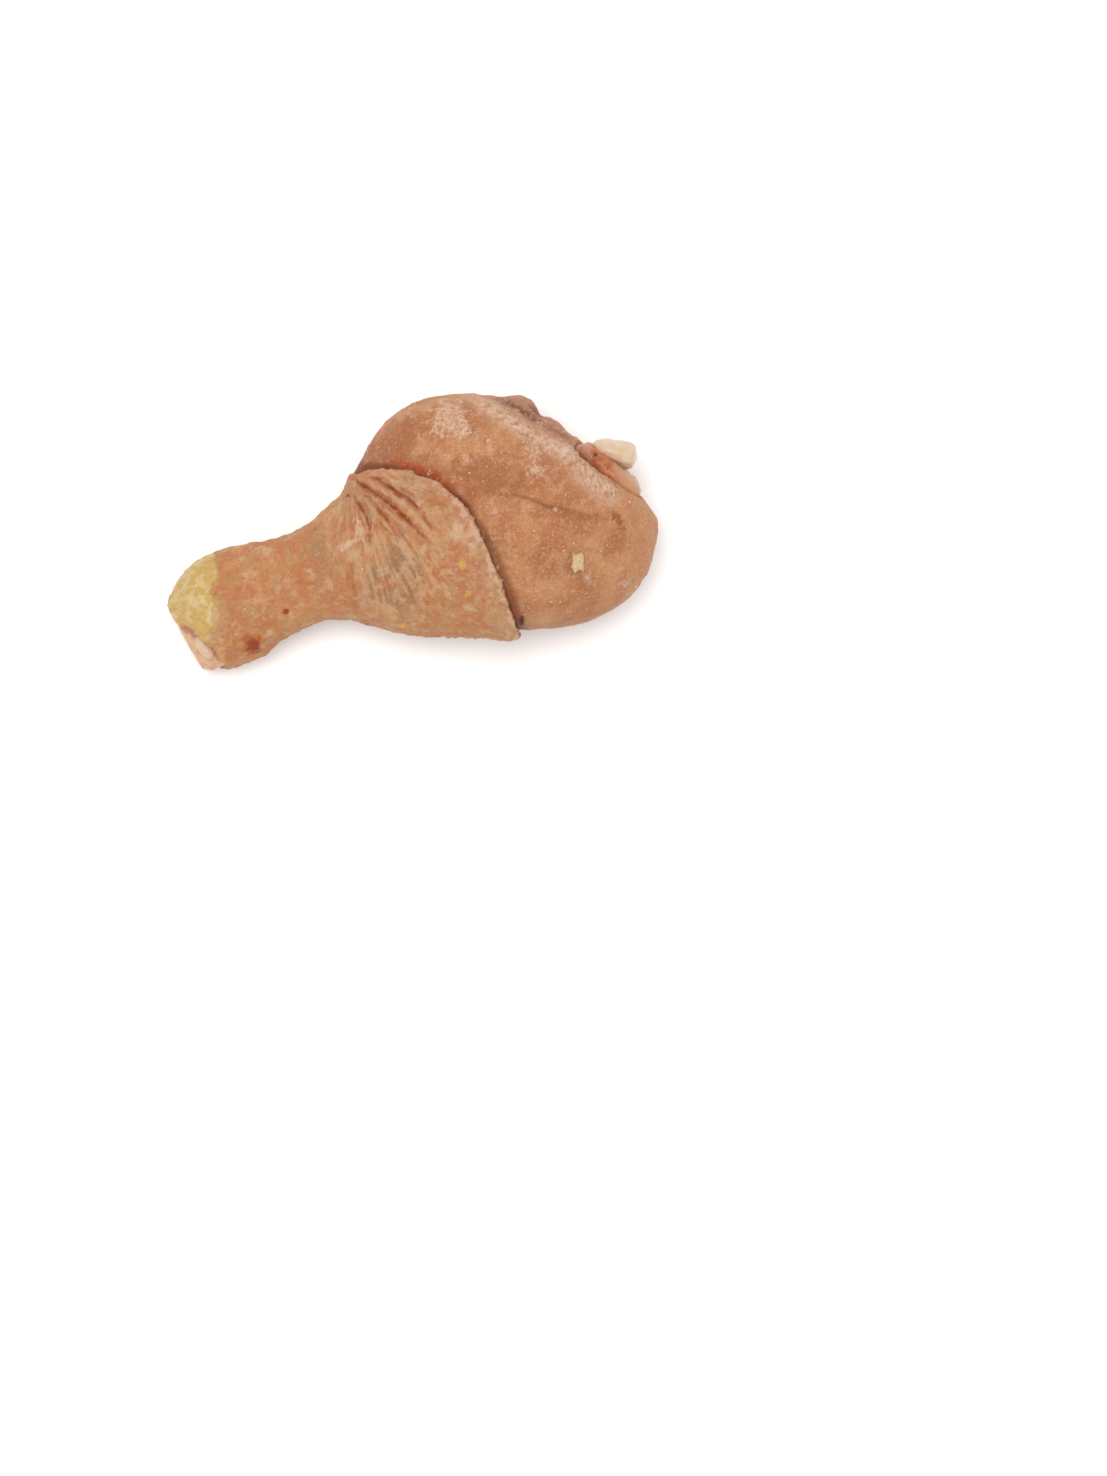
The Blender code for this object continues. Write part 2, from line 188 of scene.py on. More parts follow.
def stroke(points, line, width, wobble=0.35, seed=1):
    """A ridge of height 1 along a line of points in plan, thin at both ends."""
    line = np.array(line, float)
    samples = 60
    t = np.linspace(0, len(line) - 1, samples)
    way = np.stack([np.interp(t, np.arange(len(line)), line[:, k]) for k in (0, 1)], axis=1)
    for _ in range(6):
        way[1:-1] = (way[:-2] + way[1:-1] + way[2:]) / 3
    margin = 3 * width + wobble
    near = np.all(
        (points[:, :2] > way.min(axis=0) - margin) & (points[:, :2] < way.max(axis=0) + margin),
        axis=1,
    )
    near &= points[:, 2] > 11
    there = points[near]
    shift = np.stack([swell(there, 2.5, seed), swell(there, 2.5, seed + 50)], axis=1) * wobble
    away = np.linalg.norm((there[:, :2] + shift)[:, None] - way, axis=2)
    taper = np.sin(math.pi * np.clip(away.argmin(axis=1) / (samples - 1) * 0.86 + 0.07, 0, 1))
    drawn = np.zeros(len(points))
    drawn[near] = hump(away.min(axis=1), width) * taper**0.7
    return drawn


def spot(points, x, y, across, along=None, turn=0.0, ragged=0.25, seed=1, soft=0.35):
    """1 inside an uneven oval in plan and 0 outside it, on the upper side."""
    along = along or across
    dx, dy = points[:, 0] - x, points[:, 1] - y
    c, s = math.cos(math.radians(turn)), math.sin(math.radians(turn))
    away = np.hypot((dx * c + dy * s) / across, (dy * c - dx * s) / along)
    near = (away < 2.2) & (points[:, 2] > 9)
    value = np.zeros(len(points))
    size = 0.55 * min(across, along)
    value[near] = 1 - away[near] + ragged * swell(points[near], size, seed, 2)
    return step_up(value, 0, soft)


def spots(points, rows):
    """Many spots together: each row is a weight, and then what spot() takes."""
    return sum(weight * spot(points, *row) for weight, *row in rows)


# %% [markdown]
# ## Round the leg
#
# The skin's free edge and the yellow skin's edge run round the leg, so they are kept as angles
# and stations, and a point is told its angle from the leg's own cross-section there.

# %% The leg's sections and edges
# station x, lower side y, upper side y, underside z, crown z
LEG = np.array((
    (-62.9, -4.0, -4.0, 10.0, 10.0),
    (-61.4, -15.0, 0.6, 4.0, 15.6),
    (-58.0, -18.8, 3.9, 2.3, 18.0),
    (-52.0, -18.9, 6.4, 1.8, 19.2),
    (-45.0, -18.1, 7.4, 3.0, 19.6),
    (-37.0, -15.0, 7.0, 5.4, 20.2),
    (-28.0, -12.9, 7.2, 6.4, 22.6),
    (-20.0, -13.8, 9.8, 5.0, 26.2),
    (-12.0, -18.2, 17.0, 3.4, 31.0),
    (-4.0, -22.2, 25.2, 2.2, 35.6),
    (6.0, -25.2, 32.6, 1.7, 40.0),
    (16.0, -28.3, 34.5, 1.5, 43.0),
    (26.0, -31.2, 32.7, 0.8, 44.0),
    (36.0, -32.9, 28.4, -0.6, 42.8),
    (45.0, -32.2, 20.8, -0.8, 39.6),
    (53.0, -29.0, 9.8, 1.6, 34.6),
    (59.5, -23.2, 0.6, 6.4, 29.0),
    (63.6, -16.6, -5.8, 12.4, 23.6),
    (65.0, -11.2, -11.2, 18.0, 18.0),
))
WIDEST_SHARE = 0.44
# degrees round the leg from its upper side over the crown, and station x
SKIN_EDGE = np.array((
    (0, -9.4), (30, -7.0), (47, -3.0), (59, 2.0), (70, 9.3), (88, 17.2), (108, 20.8),
    (135, 22.4), (180, 23.4), (215, 21.0), (250, 15.0), (285, 7.0), (320, -2.0),
))
# the oblique cut through the hock: a point of it, and the way it faces
CUT_AT = np.array((-57.6, -13.0, 16.0))
CUT_FACES = np.array((-0.73, -0.48, 0.49)) / math.hypot(0.73, 0.48, 0.49)
DOWN_THE_CUT = np.cross(np.cross(CUT_FACES, (0, 0, 1)), CUT_FACES) * -1
DOWN_THE_CUT /= np.linalg.norm(DOWN_THE_CUT)
# the hock's outline beside the cut, from above: a point of it, and the way it faces
HOCK_LINE_AT = np.array((-63.2, -6.9))
HOCK_LINE_FACES = np.array((-0.969, -0.246))


def section(x):
    """The leg's lower and upper side, underside, crown and widest height at stations x."""
    low, high, under, crown = [np.interp(x, LEG[:, 0], LEG[:, k]) for k in (1, 2, 3, 4)]
    return low, high, under, crown, under + WIDEST_SHARE * (crown - under)


def angle_round(points):
    """Degrees round the leg: 0 at its upper side in plan, and 90 on the crown."""
    x, y, z = points.T
    low, high, under, crown, middle = section(x)
    across = (2 * y - low - high) / np.maximum(high - low, 0.1)
    reach = np.where(z > middle, crown - middle, middle - under)
    up = (z - middle) / np.maximum(reach, 0.1)
    return np.degrees(np.arctan2(up, across)) % 360


def to_edge(points, edge):
    """How far a point is from an edge, in millimetres towards the hock."""
    return np.interp(angle_round(points), edge[:, 0], edge[:, 1], period=360) - points[:, 0]


def to_cut(points):
    """How far a point is inside the hock's cut, in millimetres."""
    return (CUT_AT - points) @ CUT_FACES


def trimmed(points):
    """Points drawn in to the straight line that the cut hock shows from above."""
    beyond = np.maximum((points[:, :2] - HOCK_LINE_AT) @ HOCK_LINE_FACES, 0)
    kept = points.copy()
    kept[:, :2] -= 0.85 * beyond[:, None] * HOCK_LINE_FACES
    return kept


def nudge(points, pushes):
    """Shifts the points in plan near some places, to bring the outline to the photograph's."""
    for x, y, reach, dx, dy in pushes:
        near = mound(points, x, y, reach)
        points[:, :2] += near[:, None] * (dx, dy)


# %% [markdown]
# ## Dense copies
#
# A plain solid has too few points for folds. Its copy is remeshed in small cubes of space, which
# also rounds its edges and melts touching solids together, and is smoothed before it is worked on.

# %% Copy, fill and remesh solids
def kept_mesh(name, made):
    """Keeps what was built as a mesh, and lets go of the workbench."""
    mesh = bpy.data.meshes.new(name)
    made.to_mesh(mesh)
    made.free()
    return mesh


def walls(made, rings):
    """Joins each ring of points to the next one with a wall of quads."""
    for near, far in zip(rings, rings[1:]):
        for i in range(len(near)):
            k = (i + 1) % len(near)
            made.faces.new((near[i], near[k], far[k], far[i]))


def bare_object(name, mesh):
    obj = bpy.data.objects.new(name, mesh)
    bpy.context.scene.collection.objects.link(obj)
    return obj


def with_modifiers(obj):
    """Gives obj the mesh that its modifiers make of it."""
    graph = bpy.context.evaluated_depsgraph_get()
    mesh = bpy.data.meshes.new_from_object(obj.evaluated_get(graph))
    obj.modifiers.clear()
    obj.data = mesh
    return obj


def dense_copy(name, nodes, voxel, smooth, extra=()):
    """One closed, evenly dense mesh over these CAD nodes and extra meshes."""
    made = bmesh.new()
    for source in [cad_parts[node].data for node in nodes] + list(extra):
        made.from_mesh(source)
    obj = bare_object(name, kept_mesh(name, made))
    remesh = obj.modifiers.new("Remesh", "REMESH")
    remesh.mode = "VOXEL"
    remesh.voxel_size = voxel * MM
    soften = obj.modifiers.new("Smooth", "SMOOTH")
    soften.factor = 0.5
    soften.iterations = smooth
    with_modifiers(obj)
    obj.data.materials.clear()
    obj.data.shade_smooth()
    return obj


def cut_away(mesh, at, way):
    """Closes the mesh with a flat face at a plane, and drops what lies on the way side of it."""
    made = bmesh.new()
    made.from_mesh(mesh)
    bmesh.ops.remove_doubles(made, verts=made.verts, dist=0.001 * MM)
    place = Vector((np.array(at) - DRAWING) * MM)
    found = bmesh.ops.bisect_plane(
        made,
        geom=made.verts[:] + made.edges[:] + made.faces[:],
        plane_co=place,
        plane_no=way,
        clear_outer=True,
    )
    rim = [part for part in found["geom_cut"] if isinstance(part, bmesh.types.BMEdge)]
    bmesh.ops.triangle_fill(made, edges=rim, use_beauty=True)
    return kept_mesh(mesh.name + "_cut", made)


def sleeve_filler(first_x, last_x, lift, set_back):
    """A plain core for the sleeve, so that no dense surface is spent where nobody can look."""
    angle = np.radians(np.linspace(0, 360, 40, endpoint=False))
    made = bmesh.new()
    rings = []
    for x in np.linspace(first_x, last_x, 24):
        low, high, under, crown, middle = section(x)
        reach = np.where(np.sin(angle) > 0, crown - middle, middle - under) + lift
        y = (low + high) / 2 + ((high - low) / 2 + lift) * np.cos(angle)
        ring = np.stack([x + 0 * y, y, middle + reach * np.sin(angle)], axis=1)
        ring += np.minimum(to_cut(ring) - set_back, 0)[:, None] * CUT_FACES
        ring[:, 2] = np.maximum(ring[:, 2], 0.6)
        rings.append([made.verts.new((point - DRAWING) * MM) for point in ring])
    walls(made, rings)
    made.faces.new(rings[0])
    made.faces.new(rings[-1])
    bmesh.ops.recalc_face_normals(made, faces=made.faces)
    return kept_mesh("sleeve_filler", made)


# %% [markdown]
# ## The skin
#
# The skin is a loose sleeve that was pulled towards the hock and froze there. It is pinched at the
# upper side, and folds and many fine wrinkles fan out from the pinch. A broad, smooth hem
# follows the torn free edge. Pimples of the feather roots show on the lower part.

# %% The skin's folds
FOLD_RIDGES = (
    # line in plan, half width, height
    (((-7.0, 18.0), (-3.2, 14.4), (1.0, 9.6), (4.6, 4.6), (6.9, -0.2), (8.4, -5.6)), 0.85, 0.75),
    (((-9.0, 17.4), (-6.6, 13.2), (-2.6, 7.8), (0.9, 2.6), (3.3, -2.6), (4.6, -8.0)), 0.9, 0.65),
    (((-10.6, 17.0), (-9.6, 12.8), (-8.0, 7.6), (-6.2, 2.0), (-5.2, -3.0)), 0.7, 0.50),
    (((-12.4, 15.4), (-11.6, 10.6), (-10.7, 5.4), (-10.4, 0.6)), 0.6, 0.40),
    (((-3.6, 18.4), (1.0, 15.2), (5.0, 10.6), (8.0, 5.0), (9.8, -0.6)), 1.3, 0.55),
)
FOLD_CREASES = (
    # line in plan, half width, depth
    (
        ((-8.6, 18.4), (-7.9, 17.2), (-3.9, 12.8), (-0.1, 7.7), (2.6, 3.6), (4.3, 1.0), (6.4, -2.8)),
        0.42, 0.95,
    ),
    (((-4.6, 17.6), (-2.1, 16.0), (1.1, 12.2), (4.3, 8.3), (6.4, 4.8), (7.9, 0.3)), 0.40, 0.80),
    (((-10.5, 16.2), (-9.3, 11.9), (-8.3, 8.6), (-7.8, 4.8), (-8.9, 0.6)), 0.36, 0.70),
    (((-7.6, 15.2), (-5.6, 11.4), (-3.4, 7.6), (-1.2, 3.4), (0.2, -0.4)), 0.34, 0.55),
    (((-12.0, 13.6), (-11.4, 8.6), (-10.9, 4.0), (-10.9, -0.6)), 0.34, 0.45),
    (((-5.0, 15.6), (-3.0, 13.0), (-0.6, 9.8), (1.6, 6.4), (3.2, 3.2)), 0.32, 0.50),
    (((2.2, 13.6), (5.0, 10.2), (7.4, 6.2)), 0.34, 0.35),
)
STRANDS = 5  # thin creases beside each drawn one
# heights of the skin's relief in millimetres
HEM_HEIGHT = 0.65
FRAY_HEIGHT = 0.30
CRUMB_HEIGHT = 0.28
PIMPLE_HEIGHT = 0.10
ROOTED_HEIGHT = 0.36  # added where feather roots stand thick
CLOSE_DEPTH = 1.0  # how far the edge is drawn in where it lies close
PINCH = np.array((-9.0, 25.0))
# place in plan, reach, and shift, in millimetres: the first one pulls the sleeve tight at the pinch
SKIN_NUDGES = (
    (-12.6, 18.6, 6.0, 2.4, -2.8),
    (-60.5, 4.5, 4.5, 0.4, -0.6),
    (-64.5, -3.0, 2.5, -0.8, -0.3),
    (-47.5, -20.5, 5.0, 0.1, 0.9),
    (-38.0, -17.0, 5.0, 0.0, 0.6),
)


def fanned_out(points, along):
    """Places that run fast across the fan and slowly away from the pinch, for noise in wrinkles."""
    dx, dy = points[:, 0] - PINCH[0], points[:, 1] - PINCH[1]
    reach = np.hypot(dx, dy)
    return np.stack([np.arctan2(dx, -dy) * 30, reach * along, points[:, 2] * along / 2], axis=1)


def beside(line, draw):
    """A shorter line that runs along another one, a little to its side."""
    line = np.array(line)
    first, last = draw.uniform(0.0, 0.45), draw.uniform(0.55, 1.0)
    share = np.linspace(first, last, 5) * (len(line) - 1)
    way = np.stack([np.interp(share, np.arange(len(line)), line[:, k]) for k in (0, 1)], axis=1)
    aside = draw.normal(0, 1.1) + draw.normal(0, 0.22, 5)
    across = np.array((0.84, 0.54))
    return way + aside[:, None] * across * np.linspace(0.5, 1.3, 5)[:, None]


def skin_relief(points):
    """How far the skin stands out, and the marks that its finish reads."""
    x, y, z = points.T
    upper = step_up(z, 14, 20)
    ridges = sum(height * stroke(points, line, width, 0.6, 3) for line, width, height in FOLD_RIDGES)
    creases = sum(depth * stroke(points, line, width, 0.6, 3) for line, width, depth in FOLD_CREASES)
    draw = np.random.default_rng(8)
    strands = 0
    for line, width, depth in FOLD_CREASES:
        for _ in range(STRANDS):
            thin = draw.uniform(0.24, 0.34)
            strands += draw.uniform(0.3, 0.7) * depth * stroke(points, beside(line, draw), thin, 0.5, 4)
    # Where they all meet at the pinch they are shallower.
    crowded = 1 - 0.75 * mound(points, -10.9, 15.2, 1.8)
    creases, strands = creases * crowded, strands * crowded
    uneven = 1 + 0.6 * swell(points, 2.4, 10, 2)
    # Fine wrinkles run away from the pinch, most of all in the fan below it.
    fan_part = step_up(x, -22, -13) * (1 - step_up(x, 4, 15)) * step_up(y, -25, -15) * upper
    wide = 1 - 2 * np.abs(swell(fanned_out(points, 0.13), 1.9, 11, 2))
    thin = 1 - 2 * np.abs(swell(fanned_out(points, 0.14), 1.0, 12))
    short = 1 - 2 * np.abs(swell(fanned_out(points, 0.40), 1.0, 13))
    calm = step_up(x, -52, -40) * (0.22 + 0.78 * fan_part)
    calm *= step_up(np.hypot(x - PINCH[0], y - PINCH[1]), 6, 14)
    wrinkles = calm * (0.20 * wide + 0.16 * thin + 0.06 * short)
    # Flesh and fat under the skin show as lumps.
    lumps = swells(points, (0.32, 7.0, 15), (0.26, 2.6, 16), (0.14, 1.3, 17))
    # Feather roots stand up as pimples.
    near, _, number = cells(points, 1.8, 18)
    rooted = step_up(x, -8, 3) * (1 - step_up(y, -1, 6))
    pimples = np.clip(1 - near / (0.45 + 0.45 * number), 0, 1) * (number > 0.2) * step_up(x, -46, -36)
    edge = to_edge(points, SKIN_EDGE)
    lumpy = 1 + 0.55 * swell(points, 2.1, 19)
    hem = hump(edge - 2.4, 2.9) * upper * lumpy
    frayed = hump(edge - 0.4, 1.1) * upper * (0.5 + swell(points, 1.0, 20))
    # Frost sits in crumbs on the hem, thickest on its very edge.
    crumbs = step_up(swell(points, 1.7, 9, 2) + 0.9 * hump(edge - 0.5, 1.2), 0.25, 0.7)
    crumbs *= hump(edge - 1.0, 3.4) * upper * step_up(x, 1, 9)
    height = lumps + wrinkles + (PIMPLE_HEIGHT + ROOTED_HEIGHT * rooted) * pimples
    height += HEM_HEIGHT * hem + FRAY_HEIGHT * frayed + CRUMB_HEIGHT * crumbs
    height += (ridges - 1.1 * creases - 0.55 * strands) * uneven
    # A broad red flush along the creases, partly painted shade in the folds.
    flush = sum(depth * stroke(points, line, 3.4 * width, 0.9, 5) for line, width, depth in FOLD_CREASES)
    marks = {
        "flush": 0.80 * flush * uneven,
        # painted shade, dark red, for the creases
        "crease": np.clip((1.2 * creases + 0.75 * strands - 0.30 * ridges) * uneven, 0, 1),
        "fold": np.clip(ridges * uneven, 0, 1),
        "fibre": 0.5 + 0.5 * calm * np.clip(0.8 * wide + 0.6 * thin + 0.5 * short - 0.5, -1, 1),
        "crumbs": crumbs,
        "pimple": pimples * (0.3 + 0.7 * rooted),
        "hem": hump(edge - 1.6, 3.8) * step_up(z, 12, 20) * np.clip(lumpy, 0, 1),
        # painted shade, red, on the skin's torn edge
        "lip": 1 - step_up(edge, -0.7, 0.9),
    }
    return height, edge, marks


SKIN_VOXEL = 0.46
filler = sleeve_filler(-60.0, -14.0, 1.1, 2.4)
skin = dense_copy("leg_skin", ["skin", "hock_scale_skin"], SKIN_VOXEL, 5, [filler])
points = places(skin.data)
# The torn lip wanders along the leg and up and down, before any relief.
lip = hump(to_edge(points, SKIN_EDGE), 2.2)
ragged = 0.75 * swell(points * (1, 1, 0.6), 4.5, 21) + 0.75 * swell(points, 1.9, 22, 2)
points[:, 0] += lip * ragged
# Over the red hollow the edge lies a little further back.
x, y, z = points.T
held_back = hump(to_edge(points, SKIN_EDGE), 3.5) * step_up(x, -13, -7) * (1 - step_up(x, 15, 19))
held_back *= step_up(y, 2, 9) * step_up(z, 14, 20)
points += held_back[:, None] * (-0.7, -1.4, 0.35)
nudge(points, SKIN_NUDGES)
# The skin's edge runs straight across the cut, so the crown of the sleeve is drawn over it.
straight = mound(points, -56.5, -11.0, 3.6)
points += (1.1 * straight * (1 - step_up(to_cut(points), 1.0, 5.0)))[:, None] * CUT_FACES
put(skin.data, points)
height, edge, _ = skin_relief(places(skin.data))
# Past the fan the edge lies close on the meat.
_, y, z = places(skin.data).T
close_lying = hump(edge, 3.4) * (1 - step_up(y, -6, 4) * step_up(z, 12, 18))
raise_by(skin.data, height * step_up(edge, -1.2, 0.8) - CLOSE_DEPTH * close_lying)
# Below the cut the sleeve's rim is drawn back, so that the tissue stands out beyond it.
points = places(skin.data)
low_side = step_up((points - CUT_AT) @ DOWN_THE_CUT, 1.0, 4.0)
points -= (2.2 * low_side * (1 - step_up(to_cut(points), 0.5, 5.0)))[:, None] * CUT_FACES
points = trimmed(points)
points[:, 2] = np.maximum(points[:, 2], 0.0)
put(skin.data, points)
print("skin points:", len(points), "relief", height.min().round(2), "to", height.max().round(2))

# %% [markdown]
# ## The yellow scaly skin
#
# Skin and scales are one surface on the leg. The yellow part is lifted off the dense skin as a
# thin shell with its own closed back, and the skin under it is sunk a little to make room. Both
# read the same marks, so the uneven border between them shows as a change of colour alone.

# %% Lift off the yellow shell
SHELL = 0.6  # thickness of the shell in millimetres
SCALE_SIZE = 1.7
SINK = 0.45  # depth of the room made for the shell
# The border of the yellow as the photograph shows it: degrees round the leg, and station x
YELLOW_EDGE = np.array((
    (0, -49.2), (25, -49.2), (47, -49.4), (60, -50.6), (72, -51.6), (93, -53.0), (108, -55.6),
    (120, -58.6), (140, -62.0), (180, -63.0), (240, -60.0), (300, -53.0), (335, -49.6),
))


def yellow_side(points):
    """How far a point is inside the yellow skin, in millimetres, with an uneven border."""
    inside = to_edge(points, YELLOW_EDGE)
    return inside + 1.9 * swell(points, 4.5, 31) + 0.9 * swell(points, 1.7, 32)


# weight, place in plan, half sizes, turn, raggedness, seed and softness
SKIN_SPOTS = {
    "frost": (
        (1.0, -14.6, 2.2, 3.8, 1.1, 14, 0.9, 41),
        (1.0, -10.4, 4.8, 1.5, 3.2, 0, 0.9, 42),
        (1.0, -40.2, -14.5, 1.0, 0.8, 0, 0.6, 43),
        (0.6, 14.5, -3.0, 2.4, 3.6, 20, 0.9, 44),
        (0.7, -52.6, -7.0, 1.3, 2.6, 10, 0.7, 57, 0.8),
    ),
    "fat": (
        (1.0, 3.2, 5.6, 0.9, 0.7, 0, 0.4, 45),
        (1.0, 13.1, -10.4, 1.0, 1.5, 10, 0.5, 46),
        (1.0, 12.5, -18.1, 1.0, 0.8, 0, 0.6, 47),
        (1.0, -7.7, -19.1, 0.7, 0.9, 0, 0.6, 48),
        (1.0, -6.2, -21.6, 1.2, 0.7, 0, 0.6, 49),
        (0.6, -25.9, -3.5, 0.9, 0.9, 0, 0.6, 50),
    ),
    "blood": (
        (1.2, -34.7, -10.4, 1.2, 1.0, 0, 0.3, 51, 0.5),
        (1.15, -45.1, -17.0, 3.6, 2.5, 20, 0.35, 52, 1.0),
        (0.60, -46.2, -14.8, 5.8, 4.2, -25, 0.6, 53, 0.9),
        (0.22, -47.0, 3.0, 3.4, 4.6, 0, 0.8, 54, 0.7),
    ),
    "grey": (
        (0.7, -22.0, 1.0, 5.0, 7.5, 0, 0.7, 55, 0.6),
        (1.0, -5.0, -8.0, 12.0, 11.0, -20, 0.6, 59, 0.5),
    ),
    "rosy": (
        (1.0, -1.9, 9.7, 5.0, 12.0, 40, 0.7, 60, 0.6),
        (1.0, 13.2, -14.0, 6.5, 9.5, 10, 0.9, 39, 0.6),
        (0.8, -27.0, -7.0, 8.0, 4.0, -10, 0.9, 38, 0.6),
        (1.0, -48.6, 7.2, 3.6, 2.6, -20, 0.7, 37, 0.6),
    ),
}
# weight, line in plan, half width, wobble and seed
SKIN_STREAKS = {
    "frost": ((0.8, ((-27.4, -1.0), (-25.6, -2.2), (-24.6, -4.0)), 0.4, 0.3, 56),),
    "blood": ((0.45, ((-31.0, -2.6), (-27.6, -4.6), (-23.8, -5.6)), 0.8, 0.4, 58),),
}


def skin_marks(mesh):
    """Marks on the skin that its finish reads."""
    points = places(mesh)
    for name, values in skin_relief(points)[2].items():
        mark(mesh, name, values)
    mark(mesh, "yellow", step_up(yellow_side(points), -0.9, 1.1))
    rim = step_up(outward(mesh) @ CUT_FACES, 0.72, 0.9) * (1 - step_up(points[:, 1], -7.5, -5.5))
    mark(mesh, "cut_rim", rim * (1 - step_up(to_cut(points), 0.3, 1.5)))
    for name, rows in SKIN_SPOTS.items():
        streaks = sum(weight * stroke(points, *row) for weight, *row in SKIN_STREAKS.get(name, ()))
        mark(mesh, name, spots(points, rows) + streaks)


points = places(skin.data)
inside = yellow_side(points)
above_cut = to_cut(points) > 0.7
keep = (inside > 0) & above_cut
# The sleeve's inner wall and the cut's rim are left out of the shell.
low, high, _, _, middle = section(points[:, 0])
from_axis = np.stack([0 * low, points[:, 1] - (low + high) / 2, points[:, 2] - middle], axis=1)
from_axis /= np.maximum(np.linalg.norm(from_axis, axis=1, keepdims=True), 0.1)
facing_out = (outward(skin.data) * from_axis).sum(axis=1)
keep &= facing_out > -0.35

made = bmesh.new()
made.from_mesh(skin.data)
made.verts.ensure_lookup_table()
dropped = [vert for vert, kept in zip(made.verts, keep) if not kept]
bmesh.ops.delete(made, geom=dropped, context="VERTS")
mesh = kept_mesh("scale_skin", made)
scales = bare_object("hock_scale_shell", mesh)
near, second, _ = cells(places(mesh), SCALE_SIZE, 33)
scaled = step_up(yellow_side(places(mesh)), 0.6, 3.0)
raise_by(mesh, 0.05 + scaled * (0.10 * step_up(second - near, 0.0, 0.55) - 0.06))
shell = scales.modifiers.new("Thickness", "SOLIDIFY")
shell.thickness = SHELL * MM
shell.offset = -1
with_modifiers(scales)
# Like every piece, the shell stays above the surface that the leg lies on.
shell_points = places(scales.data)
shell_points[:, 2] = np.maximum(shell_points[:, 2], 0.0)
put(scales.data, shell_points)
skin_marks(scales.data)
near, second, _ = cells(places(scales.data), SCALE_SIZE, 33)
mark(scales.data, "groove", 1 - step_up(second - near, 0.0, 0.5))
scales.data.shade_smooth()

# It fades out before the shell's own border, so that no gap opens there.
sink = step_up(inside, 0.4, 1.2) * step_up(to_cut(points), 1.7, 2.9) * keep
sink *= step_up(facing_out, -0.2, 0.1)
raise_by(skin.data, -SINK * sink)
skin_marks(skin.data)
print("shell faces:", len(scales.data.polygons), "skin faces:", len(skin.data.polygons))

# %% [markdown]
# ## The bare calf
#
# Beyond the skin's edge the calf shows: muscle under a thin, tight membrane, dusted with frost.
# The membrane ends in a pale, frosty rim. Beyond it lie two mauve lobes of torn thigh meat.

# %% The calf's relief and marks
RIM_LINE = ((24.5, 34.0), (28.4, 30.8), (32.6, 27.6), (36.0, 24.0), (38.6, 20.6), (42.0, 17.2),
            (46.0, 14.0), (49.8, 9.6), (53.4, 3.6), (57.0, -3.4))
THIGH_FOLDS = (
    (((32.6, 29.2), (35.4, 27.2), (38.0, 24.8), (40.4, 22.0), (42.6, 20.2)), 0.75, 1.3),
    (((40.4, 25.4), (41.8, 23.6), (43.6, 22.2)), 0.7, 0.9),
    (((42.6, 19.6), (45.2, 17.4), (47.8, 14.4)), 0.6, 0.6),
)
FLECKS = 90
# heights of the calf's relief in millimetres
RIM_HEIGHT = 0.45
SEAM_DEPTH = 0.45
BEAD_HEIGHT = 0.15
CRUST_HEIGHT = 0.36
CALF_NUDGES = (
    (-7.0, 24.0, 5.0, 0.5, -0.6),
    (43.4, 23.2, 1.6, -0.15, -0.3),
)
SEAM = ((25.0, 6.2), (29.5, 3.4), (32.7, 2.1), (36.4, -0.4), (39.4, -2.4), (46.0, -5.2), (55.8, -9.5))


def membrane_side(points):
    """How far a point is inside the membrane's rim, in millimetres towards the hock."""
    rim = np.array(RIM_LINE)
    order = np.argsort(rim[:, 1])
    at = np.interp(points[:, 1], rim[order, 1], rim[order, 0])
    return (at - points[:, 0]) * 0.72 + 0.5 * swell(points, 2.4, 61)


# weight, place in plan, half sizes, turn, raggedness, seed and softness
CRUSTS = (
    (1.0, 19.2, 27.4, 4.9, 4.6, 18, 0.50, 71, 0.22),
    (1.0, 21.8, 23.4, 2.6, 2.8, 0, 0.55, 72, 0.25),
    (0.8, 9.6, 32.0, 2.4, 0.9, 35, 0.9, 73, 0.5),
    (0.75, 27.9, 18.4, 1.3, 1.7, 0, 0.8, 74, 0.5),
    (0.75, 38.6, 12.8, 2.3, 3.0, 20, 0.8, 75, 0.5),
    (0.85, 38.0, 8.2, 2.8, 2.0, 0, 0.8, 76, 0.5),
    (1.0, 55.4, -1.0, 1.4, 2.1, 20, 0.7, 77, 0.4),
    (0.9, 46.6, 11.6, 1.6, 2.8, 40, 0.8, 110, 0.4),
    (0.5, 24.6, 0.8, 2.2, 2.0, 0, 1.0, 78, 0.8),
    (0.45, 26.2, -7.2, 1.7, 1.4, 0, 1.0, 79, 0.8),
    (0.9, 52.9, -25.6, 2.0, 1.4, 20, 0.8, 80, 0.5),
    (0.9, 43.6, -22.0, 1.4, 2.4, 20, 0.8, 81, 0.5),
    (0.9, 40.1, -2.8, 0.75, 0.7, 0, 0.3, 82, 0.4),
)
STAINS = (
    (1.0, 54.9, -9.0, 1.6, 3.2, 10, 0.8, 84, 0.7),
    (0.8, 27.2, -9.5, 0.8, 1.0, 0, 0.5, 85, 0.7),
    (0.45, 46.0, -6.2, 8.0, 1.5, -22, 0.9, 86, 1.0),
)
BROWN_PARTS = (
    (1.0, 25.0, 10.6, 11.5, 6.5, -12, 0.5, 106, 0.5),
    (0.8, 6.0, 26.0, 8.5, 7.0, 30, 0.5, 107, 0.6),
    (0.6, 30.0, 25.0, 6.0, 4.0, 0, 0.7, 108, 0.6),
)


